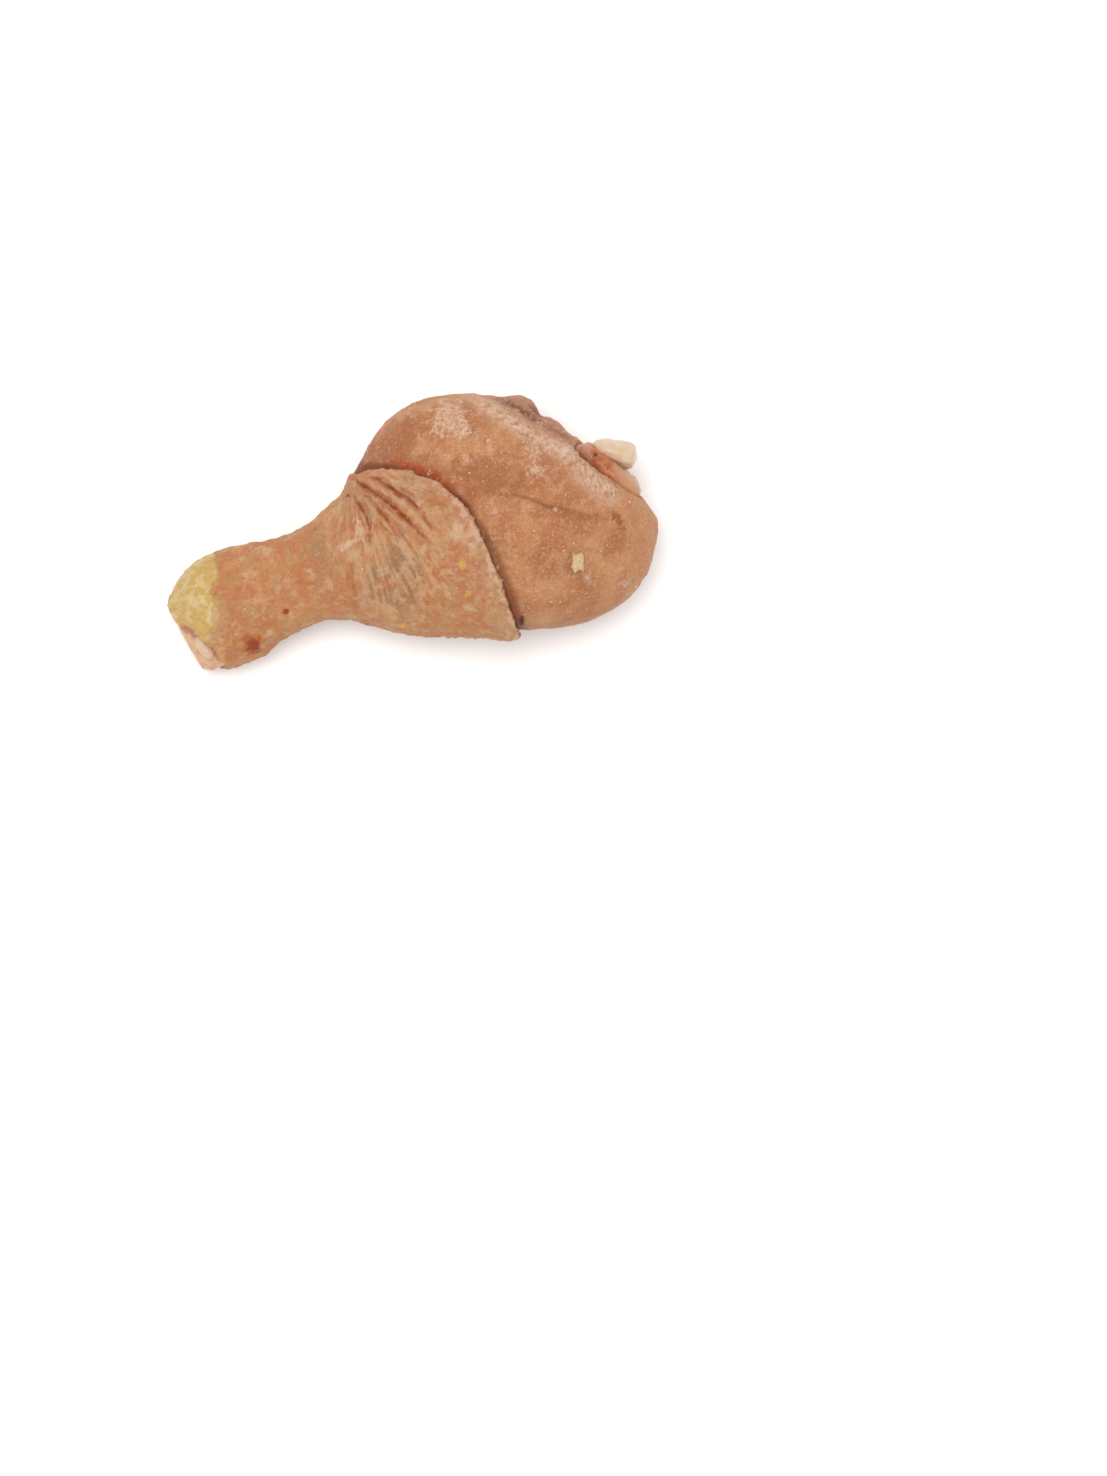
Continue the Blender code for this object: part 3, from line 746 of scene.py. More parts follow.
def crust(points):
    """Frost that grew in thick patches: 1 in the middle of a patch."""
    total = spots(points, CRUSTS)
    # Small flecks lie all over, most of them towards the crown and the rim.
    draw = np.random.default_rng(113)
    for number in range(FLECKS):
        x = draw.uniform(8, 60)
        y = draw.uniform(-24, 33) if draw.random() < 0.4 else draw.uniform(6, 33)
        wide, long = draw.uniform(0.35, 1.25, 2)
        weight = draw.uniform(0.3, 0.8)
        total += weight * spot(points, x, y, wide, long, draw.uniform(0, 180), 0.8, 200 + number, 0.6)
    return np.clip(total, 0, 1)


def calf_relief(points):
    x, y, z = points.T
    upper = step_up(z, 15, 22)
    inside = membrane_side(points)
    thigh = (1 - step_up(inside, -1.4, 0.2)) * upper * step_up(y, 9, 14)
    granular = np.clip(0.80 + 0.9 * swell(points, 1.1, 67, 2), 0, 1)
    rim = hump(inside - 1.8, 2.3) * upper * step_up(x, 22, 30) * step_up(y, -7, 1) * granular
    folds = sum(depth * stroke(points, line, width, 0.7, 62) for line, width, depth in THIGH_FOLDS)
    seam = stroke(points, SEAM, 0.5, 0.6, 63)
    frost = crust(points)
    lumps = swells(points, (0.35, 9.0, 64), (0.16, 3.2, 65), (0.07, 1.4, 66))
    near, _, number = cells(points, 1.5, 68)
    beads = np.clip(1 - near / 0.5, 0, 1) * (number > 0.60)
    # Two lobes of thigh meat bulge out beyond the rim, with torn, folded sides.
    lobes = 1.3 * mound(points, 37.4, 27.4, 4.2) + 0.4 * mound(points, 46.5, 18.0, 3.6)
    filled = 0.9 * mound(points, 49.3, 13.0, 2.6) * step_up(z, 8, 14)
    torn = thigh * (1.1 * lobes + 0.26 * swell(points, 2.8, 69, 2))
    height = lumps + filled + BEAD_HEIGHT * beads + torn + RIM_HEIGHT * rim - folds - SEAM_DEPTH * seam
    height += frost * (CRUST_HEIGHT + 0.22 * swell(points, 1.0, 70))
    return height, np.clip(folds, 0, 1), seam, frost, thigh, rim, beads


MEAT_VOXEL = 0.48
bare = cut_away(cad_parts["meat"].data, (-14.0, 0.0, 0.0), (-1.0, 0.0, 0.0))
calf = dense_copy("bare_calf", [], MEAT_VOXEL, 4, [bare])
points = places(calf.data)
under_skin = step_up(to_edge(points, SKIN_EDGE), 1.0, 3.0)
height = calf_relief(points)[0]
raise_by(calf.data, height * (1 - under_skin) - 0.15 * under_skin)
points = places(calf.data)
nudge(points, CALF_NUDGES)
points[:, 2] = np.maximum(points[:, 2], 0.0)
put(calf.data, points)


def calf_marks(mesh):
    points = places(mesh)
    x, y, z = points.T
    _, folds, seam, frost, thigh, rim, beads = calf_relief(points)
    seam = seam * step_up(z, 20, 26)
    # On the calf the fold mark carries painted shade in the thigh lobes' folds.
    for name, values in (
        ("frost", frost), ("fold", folds), ("seam", seam), ("thigh", thigh), ("rim", rim), ("bead", beads),
    ):
        mark(mesh, name, values)
    gap = -to_edge(points, SKIN_EDGE)
    lip_side = step_up(z, 16, 26)
    wavy = gap + 0.5 * swell(points, 2.2, 88)
    red = (1 - step_up(wavy, 1.9, 5.4)) * step_up(x, 0.0, 6.0) * (1 - step_up(x, 13.0, 18.0)) * lip_side
    mark(mesh, "reddened", red * (1 + 0.5 * swell(points, 1.8, 83)))
    # Painted shadow that the skin's lip casts on the calf beside it.
    shade = (1 - step_up(wavy, 1.1, 2.6)) * lip_side * (0.55 + 0.45 * step_up(y, -3, 6))
    mark(mesh, "shade", shade * (1 - 0.75 * np.clip(red, 0, 1)))
    # Next to the lip this is painted shade, dark red; the STAINS spots are stains.
    stain = (1 - step_up(wavy, 1.4, 3.3)) * lip_side * (0.45 + 0.55 * step_up(y, 0, 6))
    stain *= 1 - 0.45 * np.clip(red, 0, 1)
    mark(mesh, "stain", stain + spots(points, STAINS))
    # A small hole, painted as its dark shade on the unbroken surface.
    mark(mesh, "hole", spot(points, 24.4, -28.2, 0.8, 1.7, -20, 0.4, 87, 0.5))
    brown = 0.7 * (1 - step_up(wavy, 4.0, 11.0)) * lip_side * step_up(y, 0, 6)
    mark(mesh, "brown", brown + spots(points, BROWN_PARTS))


calf_marks(calf.data)
print("calf faces:", len(calf.data.polygons))

# %% [markdown]
# ## The cut hock and the knee
#
# The cut shows pale, wet tissue with the shin bone's end in it as a white oval. At the other end
# stands the white cartilage of the knee, angular and smooth, tied down by an orange-pink ligament.

# %% Hock and knee pieces
HOCK_VOXEL = 0.40  # millimetres
KNOB_VOXEL = 0.32
BAND_VOXEL = 0.34
OVAL_LONG = np.cross(CUT_FACES, (0.93, 0.364, 0.0))
OVAL_LONG /= -np.linalg.norm(OVAL_LONG)
OVAL_RISE = 1.5  # millimetres up the cut
OVAL_OUT = 0.6  # millimetres beyond the cut
OVAL_SQUEEZE = 0.50
CAP_NUDGES = (
    (61.5, 2.0, 2.5, 0.0, 1.2),
    (54.0, 10.6, 2.2, -0.3, -1.4),
)
BAND_ENDS = np.array(((49.4, 12.4), (63.0, -3.0)))
TORN_LUMP_AT = np.array((48.7, 11.5, 20.2))
TORN_LUMP_RADII = np.array((2.8, 2.0, 4.6))
BAND_LONG = math.dist(*BAND_ENDS)
BAND_WAY = (BAND_ENDS[1] - BAND_ENDS[0]) / BAND_LONG


# The shin bone's own end fills its hole, because the visible oval lies a little beside it.
plug = cut_away(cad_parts["bone"].data, (-50.0, 0.0, 0.0), (1.0, 0.0, 0.0))
hock = dense_copy("hock_tissue", ["hock_gristle"], HOCK_VOXEL, 3, [plug])
points = places(hock.data)
facing = step_up(outward(hock.data) @ CUT_FACES, 0.2, 0.7) * (1 - step_up(to_cut(points), 2, 5))
low_side = step_up((points - CUT_AT) @ DOWN_THE_CUT, 0.5, 5.0)
near_cut = 1 - step_up(to_cut(points), 0.8, 4.0)
tissue = swells(points, (0.35, 3.0, 91), (0.16, 1.1, 92))
# The tissue swells out over the rim on the low side, where it makes the leg's outline.
points += (near_cut * (0.15 + 0.7 * low_side) + facing * tissue)[:, None] * CUT_FACES
points += (near_cut * 1.5 * low_side)[:, None] * DOWN_THE_CUT
points = trimmed(points)
points[:, 2] = np.maximum(points[:, 2], 0.3)
put(hock.data, points)
mark(hock.data, "face", facing)
rim = np.abs((points - CUT_AT) @ np.cross(CUT_FACES, DOWN_THE_CUT))
deep = facing * step_up(0.5 * swell(points, 2.0, 100) - low_side * 2 + rim * 0.2, 0.2, 1.2)
# A line of painted shade runs where the skin's edge meets the tissue.
edge_shade_line = stroke(points, ((-60.6, -8.9), (-57.6, -13.0), (-54.5, -17.4)), 0.8, 0.4, 112)
mark(hock.data, "deep", np.maximum(deep, edge_shade_line))

bone = dense_copy("shin_bone", ["bone"], HOCK_VOXEL, 3)
points = places(bone.data)
end = 1 - step_up(to_cut(points), 1.0, 3.0)
raise_by(bone.data, end * (0.55 + 0.2 * swell(points, 1.6, 93)))
# The bone's end is an oval, higher than wide, and lies close under the skin's edge.
points = places(bone.data)
end_middle = points[end > 0.9].mean(axis=0)
up_the_cut = np.cross(CUT_FACES, OVAL_LONG)
squeeze = (points - end_middle) @ up_the_cut
held = 1 - step_up(to_cut(points), 1.5, 6.0)
points += (held * (OVAL_RISE - (1 - OVAL_SQUEEZE) * squeeze))[:, None] * up_the_cut
points += (held * OVAL_OUT)[:, None] * CUT_FACES
put(bone.data, points)
mark(bone.data, "end", end)

cap = dense_copy("knee_knob", ["knee_cartilage"], KNOB_VOXEL, 3)
points = places(cap.data)
middle = (points.max(axis=0) + points.min(axis=0)) / 2
# Its faces are flat and its edges firm, so it is pushed out towards the corners of a block.
across = (points - middle) @ np.array(((0.93, -0.37, 0.0), (0.37, 0.93, 0.0), (0.0, 0.0, 1.0))).T
firm = np.prod(np.abs(across[:, :2]) / np.abs(across[:, :2]).max(axis=0), axis=1)
raise_by(cap.data, 0.10 + 0.9 * firm + 0.12 * swell(points, 3.4, 94) + 0.04 * swell(points, 1.1, 95))
points = places(cap.data)
points[:, 0] -= 1.4 * step_up(points[:, 0], 56, 66)
nudge(points, CAP_NUDGES)
put(cap.data, points)
root = points[:, 0] + 0.45 * (points[:, 1] - 10) + 0.6 * swell(points, 1.5, 96)
beside_band = (points[:, :2] - BAND_ENDS[0]) @ (-BAND_WAY[1], BAND_WAY[0])
beside_band += 0.5 * swell(points, 2.2, 109)
root = 1 - step_up(root, 52.4, 54.2)
mark(cap.data, "root", np.maximum(root, 0.8 * (1 - step_up(beside_band, 1.6, 4.0))))
mark(cap.data, "blood", spot(points, 53.7, 8.8, 0.9, 0.7, 30, 0.4, 89, 0.4))

# Its upper end runs into the torn meat, which a lump at that end stands for.
made = bmesh.new()
stretch = Matrix.Diagonal((*TORN_LUMP_RADII * MM, 1.0))
shift = Matrix.Translation((TORN_LUMP_AT - DRAWING) * MM)
bmesh.ops.create_icosphere(made, subdivisions=4, radius=1.0, matrix=shift @ stretch)
lump = kept_mesh("torn_lump", made)
band = dense_copy("knee_band", ["knee_gristle"], BAND_VOXEL, 9, [lump])
points = places(band.data)
raise_by(band.data, 0.55 + 0.30 * swell(points, 2.8, 97) + 0.10 * swell(points, 1.2, 98))
# Both its ends are tucked in: one behind the calf's rim, one beside the calf.
points = places(band.data)
share = np.clip((points[:, :2] - BAND_ENDS[0]) @ BAND_WAY / BAND_LONG, 0, 1)[:, None]
points[:, :2] += (1 - share) * (1.7, -1.3) + share * (-1.9, -0.1)
points[:, 2] -= 0.6 * (1 - step_up(share[:, 0], 0.2, 0.7))
put(band.data, points)
mark(band.data, "lobe", step_up(points[:, 0] + 0.6 * swell(points, 2.0, 99), 56.0, 59.0))
mark(band.data, "torn", 1 - step_up(points[:, 0] + 0.8 * swell(points, 1.6, 90), 52.0, 53.6))
mark(band.data, "blood", spot(points, 53.7, 8.8, 0.9, 0.7, 30, 0.4, 89, 0.4))
for obj in (hock, bone, cap, band):
    print(obj.name, len(obj.data.polygons), "faces")

# %% [markdown]
# ## A chip of fat
#
# One crumb of yellow fat froze onto the calf. It has sharp broken sides, so it is a small slab on
# an uneven outline, tilted to lie on the surface, instead of a swelling of the dense mesh.

# %% The chip of fat
CHIP_OUTLINE = ((-1.5, -2.5), (-0.2, -1.9), (0.9, -2.6), (1.2, -0.9), (1.9, 1.1), (1.6, 2.3), (0.3, 2.0),
                (-0.9, 2.4), (-1.1, 0.7), (-1.9, -0.8))
CHIP_AT = (42.2, -17.4)


def surface_height(mesh, x, y):
    """Height of the mesh's upper side near a place in plan, in millimetres."""
    points = places(mesh)
    near = np.hypot(points[:, 0] - x, points[:, 1] - y) < 1.2
    return points[near & (points[:, 2] > 12), 2].max()


made = bmesh.new()
foot = surface_height(calf.data, *CHIP_AT)
slope = [surface_height(calf.data, CHIP_AT[0] + dx, CHIP_AT[1] + dy) for dx, dy in ((2, 0), (0, 2))]
lean = [(height - foot) / 2 for height in slope]
loops = []
for rise, shrink in ((-1.2, 1.0), (0.25, 1.0), (0.62, 0.80)):
    loop = []
    for x, y in CHIP_OUTLINE:
        x, y = x * shrink, y * shrink
        place = np.array((CHIP_AT[0] + x, CHIP_AT[1] + y, foot + lean[0] * x + lean[1] * y + rise))
        loop.append(made.verts.new((place - DRAWING) * MM))
    loops.append(loop)
walls(made, loops)
made.faces.new(loops[-1])
made.faces.new(loops[0][::-1])
bmesh.ops.triangulate(made, faces=made.faces)
bmesh.ops.subdivide_edges(made, edges=made.edges, cuts=3, use_grid_fill=True, smooth=0.1)
bmesh.ops.recalc_face_normals(made, faces=made.faces)
mesh = kept_mesh("fat_chip", made)
chip = bare_object("fat_chip", mesh)
points = places(mesh)
raise_by(mesh, 0.12 * swell(points, 1.1, 111))
mesh.shade_smooth()
mesh.set_sharp_from_angle(angle=math.radians(40))
print("chip of fat lies at height", round(foot, 1), "mm")

# %% [markdown]
# ## Ice grains
#
# The leg is dusted with single grains of ice. They are small crooked crystals that sit half sunk
# in the surface, in one mesh, at random points of the calf and the skin that face upwards.

# %% Scatter the grains
CALF_GRAINS = 170
SKIN_GRAINS = 60
BIG_GRAINS = 0.08  # their share


def scatter_on(mesh, count, seed, allowed):
    """Random face middles of the mesh that are allowed, with their normals."""
    centres = np.empty(len(mesh.polygons) * 3, np.float32)
    mesh.polygons.foreach_get("center", centres)
    centres = centres.reshape(-1, 3).astype(float) / MM + DRAWING
    normals = np.empty(len(mesh.polygons) * 3, np.float32)
    mesh.polygons.foreach_get("normal", normals)
    normals = normals.reshape(-1, 3)
    right = np.flatnonzero(allowed(centres, normals))
    pick = np.random.default_rng(seed).choice(right, min(count, len(right)), replace=False)
    return centres[pick], normals[pick]


def on_calf(points, normals):
    outside = to_edge(points, SKIN_EDGE) < -1.5
    crowd = swell(points, 9.0, 101) + 0.35 * step_up(points[:, 1], 0, 25)
    return outside & (normals[:, 2] > 0.05) & (crowd > -0.25)


def on_skin(points, normals):
    inside = (to_edge(points, SKIN_EDGE) > -0.5) & (points[:, 0] > -50)
    return inside & (normals[:, 2] > 0.2) & (swell(points, 8.0, 102) > 0.05)


draw = np.random.default_rng(7)
made = bmesh.new()
for mesh, count, allowed in ((calf.data, CALF_GRAINS, on_calf), (skin.data, SKIN_GRAINS, on_skin)):
    for at, normal in zip(*scatter_on(mesh, count, 103, allowed)):
        size = draw.uniform(0.10, 0.22) * (1.6 if draw.random() < BIG_GRAINS else 1.0)
        grain = bmesh.ops.create_icosphere(made, subdivisions=1, radius=size * MM)["verts"]
        for vert in grain:
            vert.co *= draw.uniform(0.75, 1.25)
        turn = Matrix.Rotation(draw.uniform(0, math.tau), 4, Vector(normal))
        stretch = Matrix.Diagonal((*draw.uniform(0.8, 1.5, 2), draw.uniform(0.6, 1.0), 1.0))
        shift = Matrix.Translation((at - DRAWING) * MM)
        bmesh.ops.transform(made, verts=grain, matrix=shift @ turn @ stretch)
mesh = kept_mesh("ice_grains", made)
grains = bare_object("ice_grains", mesh)
print("ice grains:", len(mesh.polygons) // 20)

# %% [markdown]
# ## Writing finishes as sums
#
# A finish is a web of nodes. Here a socket is wrapped so that plain Python sums add the Math
# nodes, and one method adds any other node: its kind, its settings, then what goes into it.

# %% Sockets in sums, and one finish
class Wire:
    """A socket that can be used in sums."""

    def __init__(self, finish, socket):
        self.finish, self.socket = finish, socket

    def sum(self, operation, first, second):
        return self.finish.node("Math", {"operation": operation}, {0: first, 1: second})

    def __add__(self, other):
        return self.sum("ADD", self, other)

    def __sub__(self, other):
        return self.sum("SUBTRACT", self, other)

    def __rsub__(self, other):
        return self.sum("SUBTRACT", other, self)

    def __mul__(self, other):
        return self.sum("MULTIPLY", self, other)

    __radd__ = __add__
    __rmul__ = __mul__


class Finish:
    """One material, whose patterns are measured in the drawing's millimetres."""

    def __init__(self, name, roughness, colour, through=0.12, depth=2.5, coat=0.0, shine=0.12):
        self.material = bpy.data.materials.new(name)
        self.material.use_nodes = True
        self.nodes = self.material.node_tree.nodes
        self.links = self.material.node_tree.links
        self.shader = self.nodes["Principled BSDF"]
        self.shader.inputs["Roughness"].default_value = roughness
        self.shader.inputs["Specular IOR Level"].default_value = shine
        self.shader.inputs["Subsurface Weight"].default_value = through
        self.shader.inputs["Subsurface Radius"].default_value = (1.0, 0.45, 0.25)
        self.shader.inputs["Subsurface Scale"].default_value = depth * MM
        self.shader.inputs["Coat Weight"].default_value = coat
        self.shader.inputs["Coat Roughness"].default_value = 0.25
        place = self.node("TexCoord", {}, {}, "Object")
        self.at = self.node(
            "VectorMath", {"operation": "MULTIPLY_ADD"},
            {0: place, 1: (1 / MM,) * 3, 2: tuple(DRAWING)},
        )
        self.colour = colour

    def join(self, socket, value):
        if isinstance(value, Wire):
            self.links.new(value.socket, socket)
        elif isinstance(value, tuple) and len(value) == 3 and socket.type == "RGBA":
            socket.default_value = (*value, 1.0)
        else:
            socket.default_value = value

    def node(self, kind, settings, inputs, output=0):
        made = self.nodes.new("ShaderNode" + kind)
        for name, value in settings.items():
            setattr(made, name, value)
        for name, value in inputs.items():
            self.join(made.inputs[name], value)
        return Wire(self, made.outputs[output])

    def marked(self, name):
        """A number that was kept on the points."""
        return self.node("Attribute", {"attribute_name": name}, {}, "Fac")

    def step(self, value, low, high):
        settings = {"interpolation_type": "SMOOTHSTEP"}
        return self.node("MapRange", settings, {"Value": value, "From Min": low, "From Max": high})

    def noise(self, size, detail=2.0, rough=0.5, shift=0.0):
        """Noise from 0 to 1 whose swells are this many millimetres across."""
        at = self.node("VectorMath", {"operation": "ADD"}, {0: self.at, 1: (shift, shift, shift)})
        inputs = {"Vector": at, "Scale": 1 / size, "Detail": detail, "Roughness": rough}
        return self.node("TexNoise", {}, inputs, "Fac")

    def patches(self, size, low, high, detail=2.0, rough=0.5, shift=0.0):
        """Noise that is 0 up to low and 1 from high on, so that it stands in patches."""
        return self.step(self.noise(size, detail, rough, shift), low, high)

    def blend(self, share, under, over):
        return self.node("Mix", {"data_type": "RGBA"}, {0: share, 6: under, 7: over}, 2)

    def over(self, share, colour):
        """Lays a share of a colour over what the finish has so far."""
        self.colour = self.blend(share, self.colour, colour)

    def over_mark(self, share, name, colour):
        """Lays a share of a colour over the points that carry a mark."""
        self.over(share * self.marked(name), colour)

    def bump(self, height, depth, under=None):
        """A bump of this depth in millimetres, over another one."""
        inputs = {"Height": height, "Distance": depth * MM, "Strength": 1.0}
        if under is not None:
            inputs["Normal"] = under
        return self.node("Bump", {}, inputs)

    def done(self, obj, roughness=None, normal=None):
        """Closes the finish and puts it on a piece."""
        self.join(self.shader.inputs["Base Color"], self.colour)
        if roughness is not None:
            self.join(self.shader.inputs["Roughness"], roughness)
        if normal is not None:
            self.join(self.shader.inputs["Normal"], normal)
        obj.data.materials.clear()
        obj.data.materials.append(self.material)


# %% [markdown]
# ## The calf's finish
#
# Frozen muscle under a membrane is a dull salmon brown, blotched with paler and redder patches of
# all sizes and dusted with frost, which is what makes it pale and matte.

# %% Colours of the calf
SALMON = (0.460, 0.212, 0.088)
BROWN = (0.345, 0.130, 0.050)
DARK_BROWN = (0.290, 0.100, 0.038)
ROSE = (0.415, 0.158, 0.074)
STRAW = (0.490, 0.262, 0.122)
FROST = (0.540, 0.315, 0.195)
RIME = (0.555, 0.355, 0.240)
PALE_RIME = (0.660, 0.480, 0.360)
RIM_FROST = (0.590, 0.400, 0.290)
MAUVE = (0.375, 0.180, 0.112)
FOLD_SHADE_MAUVE = (0.120, 0.048, 0.030)
BLOOD = (0.245, 0.052, 0.015)
RUST = (0.235, 0.062, 0.022)
LIP_SHADOW = (0.150, 0.040, 0.015)
FLAME = (0.350, 0.055, 0.014)

HOLE_SHADE = (0.030, 0.008, 0.006)

finish = Finish("calf_membrane", 0.62, SALMON)
finish.over(finish.patches(11.0, 0.38, 0.62), BROWN)
finish.over(0.50 * finish.patches(5.0, 0.38, 0.66, 3.0, shift=30.0), ROSE)
finish.over(0.45 * finish.patches(7.0, 0.45, 0.68, shift=45.0), STRAW)
finish.over(0.45 * finish.patches(3.2, 0.55, 0.70, 4.0, 0.7, 75.0), BROWN)
finish.over_mark(0.80, "brown", DARK_BROWN)
# Frost lies in a thin veil and in dust, less of it where the flesh is brown.
veil = finish.patches(2.6, 0.51, 0.64, 5.0, 0.72, 60.0)
dust = finish.patches(0.65, 0.53, 0.62, 3.0, 0.75, 90.0)
less = 0.25 * finish.marked("brown")
finish.over(veil * (0.42 - less), FROST)
finish.over(dust * (0.60 - less), FROST)
finish.over(0.50 * finish.patches(1.0, 0.53, 0.66, 3.0, 0.7, 105.0), BROWN)
finish.over_mark(0.85, "thigh", MAUVE)
# Painted shade in the torn folds of the thigh lobes.
finish.over_mark(0.80, "fold", FOLD_SHADE_MAUVE)
finish.over_mark(0.38 * finish.patches(1.3, 0.50, 0.64, 4.0, 0.7, 33.0), "thigh", RIME)
finish.over_mark(0.72, "rim", RIM_FROST)
finish.over_mark(0.75, "seam", RUST)
finish.over_mark(0.95, "reddened", FLAME)
# Painted shade along the lip, and stains.
finish.over_mark(0.75, "stain", RUST)
# Painted shadow of the skin's lip, dark red.
finish.over_mark(0.80, "shade", LIP_SHADOW)
grainy = finish.patches(0.7, 0.42, 0.58, 3.0, 0.75, 120.0)
frosted = finish.marked("frost")
finish.over(frosted * (0.20 + 0.44 * grainy), RIME)
finish.over(0.45 * grainy * (frosted + finish.marked("rim")), PALE_RIME)
finish.over_mark(0.35, "bead", RIME)
# Painted shade of a hole.
finish.over_mark(0.95, "hole", HOLE_SHADE)
coarse = finish.bump(finish.noise(1.4, 3.0, 0.65), 0.60)
fine = finish.bump(finish.noise(0.5, 3.0, 0.7, 15.0), 0.32, coarse)
finish.done(calf, 0.5 + 0.25 * veil, fine)

# %% [markdown]
# ## The skin's finish
#
# The skin is thin, so fat and flesh show through it: orange on the shank, greenish grey where it
# lies in fine wrinkles, pink along the hem, red in the creases, and yellow round the hock. The
# creases and the foot of the wrinkles are also darkened with painted shade. One recipe makes
# both finishes, so that they agree where the two pieces meet.

# %% Colours of the skin
TAN = (0.465, 0.225, 0.096)
ORANGE = (0.400, 0.150, 0.050)
OCHRE = (0.405, 0.235, 0.100)
GREYED = (0.268, 0.154, 0.082)
HEM_PINK = (0.450, 0.240, 0.135)
YELLOW = (0.500, 0.325, 0.105)
PALE_YELLOW = (0.600, 0.465, 0.250)
ORANGE_RIM = (0.470, 0.240, 0.075)
FLUSH_AND_SHADE = (0.385, 0.105, 0.042)
REDDISH = (0.400, 0.118, 0.042)
CREASE_SHADE_RED = (0.270, 0.060, 0.022)
WRINKLE_TOP = (0.500, 0.315, 0.180)
WRINKLE_FOOT = (0.250, 0.082, 0.034)
CHIP_YELLOW = (0.560, 0.310, 0.080)
CUT_RIM = (0.520, 0.280, 0.100)
GROOVE = (0.420, 0.230, 0.060)


def skin_finish(name, roughness):
    """The finish of the skin and of the scales, and its bump, still without its piece."""
    finish = Finish(name, roughness, TAN, through=0.12, depth=2.0)
    finish.over(0.85 * finish.patches(8.0, 0.35, 0.65, shift=5.0), ORANGE)
    finish.over(0.80 * finish.patches(6.0, 0.42, 0.60, 3.0, shift=35.0), OCHRE)
    finish.over_mark(0.72, "grey", GREYED)
    rosy = finish.patches(4.6, 0.47, 0.62, 3.0, 0.6, 65.0)
    finish.over(rosy * (0.75 - 0.45 * finish.marked("grey")), ROSE)
    finish.over_mark(0.70, "rosy", ROSE)
    finish.over_mark(0.50, "hem", HEM_PINK)
    # Red flush along the creases, partly painted shade in the folds.
    finish.over_mark(1.0, "flush", FLUSH_AND_SHADE)
    # Wrinkles are pale on top, where frost settles, and get painted shade, dark red, at the foot.
    fibre = finish.marked("fibre")
    finish.over(0.55 * finish.step(fibre, 0.62, 0.92), WRINKLE_TOP)
    finish.over(0.45 * finish.step(fibre, 0.48, 0.12), WRINKLE_FOOT)
    finish.over(0.70 * finish.patches(3.6, 0.51, 0.66, 3.0, 0.6, 175.0), WRINKLE_TOP)
    finish.over(0.38 * finish.patches(0.8, 0.53, 0.66, 3.0, 0.7, 125.0), FROST)
    pits = finish.patches(1.1, 0.53, 0.66, 3.0, 0.7, 135.0)
    finish.over(0.32 * pits, WRINKLE_FOOT)
    finish.over(0.32 * finish.patches(5.5, 0.52, 0.66, 3.0, 0.6, 195.0), REDDISH)
    finish.over_mark(0.65, "pimple", WRINKLE_TOP)
    finish.over_mark(0.75, "fold", WRINKLE_TOP)
    # Painted shade in the creases, dark red.
    finish.over_mark(0.90, "crease", CREASE_SHADE_RED)
    # Painted shade, red, on the skin's torn edge.
    finish.over_mark(0.50, "lip", FLUSH_AND_SHADE)
    finish.over_mark(0.70, "crumbs", RIME)
    mottle = finish.patches(3.0, 0.44, 0.60, 4.0, 0.65, 155.0)
    yellow = finish.blend(0.75 * mottle, YELLOW, PALE_YELLOW)
    yellow = finish.blend(0.50 * pits, yellow, OCHRE)
    yellow = finish.blend(0.75 * finish.marked("rosy"), yellow, ORANGE_RIM)
    finish.over_mark(1.0, "yellow", yellow)
    blood = finish.marked("blood")
    finish.over(0.90 * finish.step(blood, 0.0, 0.65), REDDISH)
    finish.over(0.95 * finish.step(blood, 0.45, 1.0), BLOOD)
    finish.over_mark(0.80, "fat", CHIP_YELLOW)
    finish.over_mark(0.42, "frost", PALE_RIME)
    finish.over_mark(0.60, "cut_rim", CUT_RIM)
    coarse = finish.bump(finish.noise(1.2, 3.0, 0.6), 0.60)
    return finish, finish.bump(finish.noise(0.5, 3.0, 0.7, 25.0), 0.28, coarse)


finish, fine = skin_finish("leg_skin", 0.58)
finish.done(skin, None, fine)
finish, fine = skin_finish("hock_scales", 0.50)
finish.over_mark(0.16 * finish.marked("groove"), "yellow", GROOVE)
finish.done(scales, None, fine)

# %% [markdown]
# ## Finishes of the hock and the knee
#
# Cut tissue, bone, cartilage and ligament are wet. They are glossier than the skin and let more
# light in, and each is a blend of two near colours in soft blotches.

# %% Pale tissue, bone, cartilage, ligament, fat and ice
finish = Finish("hock_tissue", 0.38, (0.570, 0.335, 0.188), through=0.20, coat=0.15, shine=0.3)
finish.over(0.8 * finish.patches(2.4, 0.38, 0.64, 3.0), (0.465, 0.210, 0.100))
# Deeper red tissue, and painted shade along the skin's edge.
finish.over_mark(0.9, "deep", (0.330, 0.085, 0.032))
finish.done(hock, None, finish.bump(finish.noise(0.7, 3.0), 0.3))

finish = Finish("bone_end", 0.40, (0.560, 0.375, 0.245), through=0.15, depth=2.0, coat=0.1, shine=0.3)
finish.over(0.6 * finish.patches(1.6, 0.4, 0.7, 3.0), (0.640, 0.480, 0.355))
finish.done(bone, None, finish.bump(finish.noise(0.6, 3.0), 0.25))

finish = Finish("knee_cartilage", 0.34, (0.560, 0.435, 0.310), through=0.25, coat=0.2, shine=0.3)
finish.over(0.7 * finish.patches(3.2, 0.35, 0.7), (0.530, 0.345, 0.220))
finish.over_mark(0.65, "root", (0.430, 0.160, 0.075))
finish.over_mark(0.95, "blood", (0.045, 0.008, 0.005))
finish.done(cap, None, finish.bump(finish.noise(0.9, 3.0), 0.2))

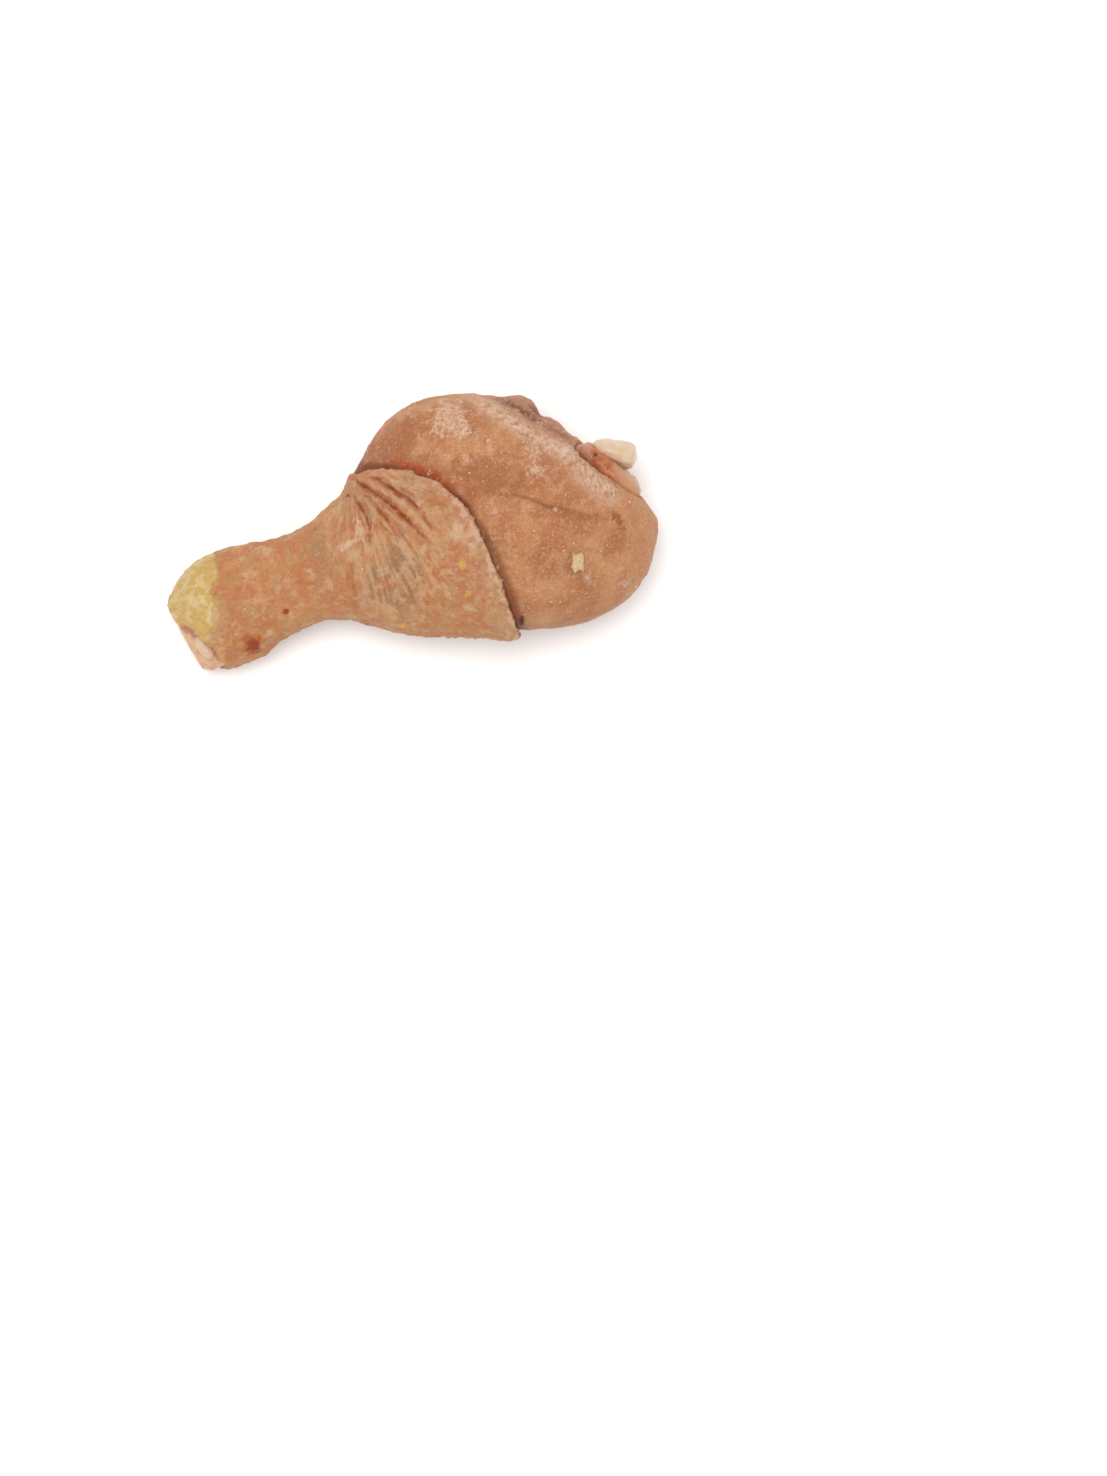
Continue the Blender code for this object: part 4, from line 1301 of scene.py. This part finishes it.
finish = Finish("knee_ligament", 0.36, (0.325, 0.075, 0.020), through=0.20, coat=0.2, shine=0.3)
finish.over(finish.patches(2.0, 0.35, 0.66, 3.0), (0.425, 0.145, 0.050))
finish.over_mark(0.8, "lobe", (0.455, 0.246, 0.132))
finish.over_mark(0.8, "torn", (0.400, 0.205, 0.130))
finish.over_mark(0.9, "blood", (0.060, 0.008, 0.005))
finish.done(band, None, finish.bump(finish.noise(0.8, 3.0), 0.3))

finish = Finish("fat_chip", 0.45, (0.460, 0.325, 0.166), through=0.2, depth=1.0)
finish.over(finish.patches(0.8, 0.4, 0.65, 3.0), (0.520, 0.400, 0.250))
finish.done(chip, None, finish.bump(finish.noise(0.5, 3.0), 0.15))

finish = Finish("ice", 0.30, (0.560, 0.370, 0.250), through=0.2, depth=0.4, shine=0.3)
# Broad patches of grains are painted paler, as a painted glint.
finish.over(finish.noise(6.0, 1.0), (0.650, 0.500, 0.390))
finish.done(grains)

# %% [markdown]
# ## Telling the frame which piece is which
#
# Each piece rides on the leg's one body, and the solid that it stands for is hidden; its slot
# name is only printed. The chip of fat and the ice grains stand for no solid of their own.

# %% Ride and replace
PIECES = (
    (calf, ["meat"], "meat"),
    (skin, ["skin"], "skin"),
    (scales, ["hock_scale_skin"], "scale_skin"),
    (hock, ["hock_gristle"], "gristle"),
    (bone, ["bone"], "bone"),
    (cap, ["knee_cartilage"], "cartilage"),
    (band, ["knee_gristle"], "ligament"),
    (chip, [], "meat"),
    (grains, [], "meat"),
)
for obj, nodes, slot in PIECES:
    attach(obj, "root")
    if nodes:
        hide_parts(*nodes)
    print(obj.name, "stands for", nodes, "with the finish", slot)

# %% [markdown]
# ## Floor, light and camera
#
# The photograph is a cut-out on pure white under soft, even light. A pale floor, a white world
# and one broad lamp beyond the leg give that, and the camera looks straight down through a long lens.

# %% Stage
FLOOR_REACH = 3.0  # metres
FLOOR_COLOUR = (0.96, 0.96, 0.96, 1.0)
LAMP_AT = Vector((-0.10, 0.26, 1.45))  # metres
LAMP_SIZE = 0.8
LAMP_WATTS = 11.0

made = bmesh.new()
bmesh.ops.create_grid(made, x_segments=1, y_segments=1, size=FLOOR_REACH)
mesh = kept_mesh("floor", made)
floor = bare_object("floor", mesh)
floor_finish = bpy.data.materials.new("floor")
floor_finish.use_nodes = True
floor_inputs = floor_finish.node_tree.nodes["Principled BSDF"].inputs
floor_inputs["Base Color"].default_value = FLOOR_COLOUR
floor_inputs["Roughness"].default_value = 0.9
mesh.materials.append(floor_finish)
floor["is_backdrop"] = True

world = bpy.data.worlds.new("studio")
bpy.context.scene.world = world
world.use_nodes = True
world.node_tree.nodes["Background"].inputs["Color"].default_value = (1.0, 1.0, 1.0, 1.0)
world.node_tree.nodes["Background"].inputs["Strength"].default_value = 1.0

lamp = bpy.data.lights.new("overhead", "AREA")
lamp.shape = "DISK"
lamp.size = LAMP_SIZE
lamp.energy = LAMP_WATTS
lamp_object = bpy.data.objects.new("overhead", lamp)
lamp_object.location = LAMP_AT
lamp_object.rotation_euler = (-LAMP_AT).to_track_quat("-Z", "Y").to_euler()
bpy.context.scene.collection.objects.link(lamp_object)
bpy.context.scene.view_settings.view_transform = "Standard"

# %% [markdown]
# The photograph is 1107 by 1476 pixels, and one pixel is 0.261 mm at the widest part of the leg.
# The leg lies turned by 14.5 degrees in it, so the camera is turned instead.

# %% Camera
PHOTO_LONG = 1476  # pixels
PHOTO_SHORT = 1107
PIXEL = 0.26129  # millimetres
ORIGIN_AT = (404.57, 536.93)  # the frame's origin, in pixels
TURN = math.radians(14.5)
PLANE = 18.0  # height of the widest part, in millimetres
LENS = 200.0
SENSOR = 36.0

right = (PHOTO_SHORT / 2 - ORIGIN_AT[0]) * PIXEL
up = (ORIGIN_AT[1] - PHOTO_LONG / 2) * PIXEL
centre_x = right * math.cos(-TURN) - up * math.sin(-TURN)
centre_y = right * math.sin(-TURN) + up * math.cos(-TURN)
distance = PHOTO_LONG * PIXEL * LENS / SENSOR

camera = bpy.data.cameras.new("camera")
camera.lens = LENS
camera.sensor_width = SENSOR
camera.sensor_fit = "AUTO"
camera.clip_start = 0.1
camera.clip_end = 20.0
camera_object = bpy.data.objects.new("camera", camera)
camera_object.location = (centre_x * MM, centre_y * MM, (PLANE + distance) * MM)
camera_object.rotation_euler = (0.0, 0.0, -TURN)
bpy.context.scene.collection.objects.link(camera_object)
bpy.context.scene.camera = camera_object
print("camera over", round(centre_x, 1), round(centre_y, 1), "mm, height", round(distance), "mm")

# %% [markdown]
# ## Size
#
# The box round the visible pieces is worked out and printed.

# %% Size and finish
low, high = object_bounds()
print("box:", [round((h - l) / MM, 1) for l, h in zip(low, high)], "mm")
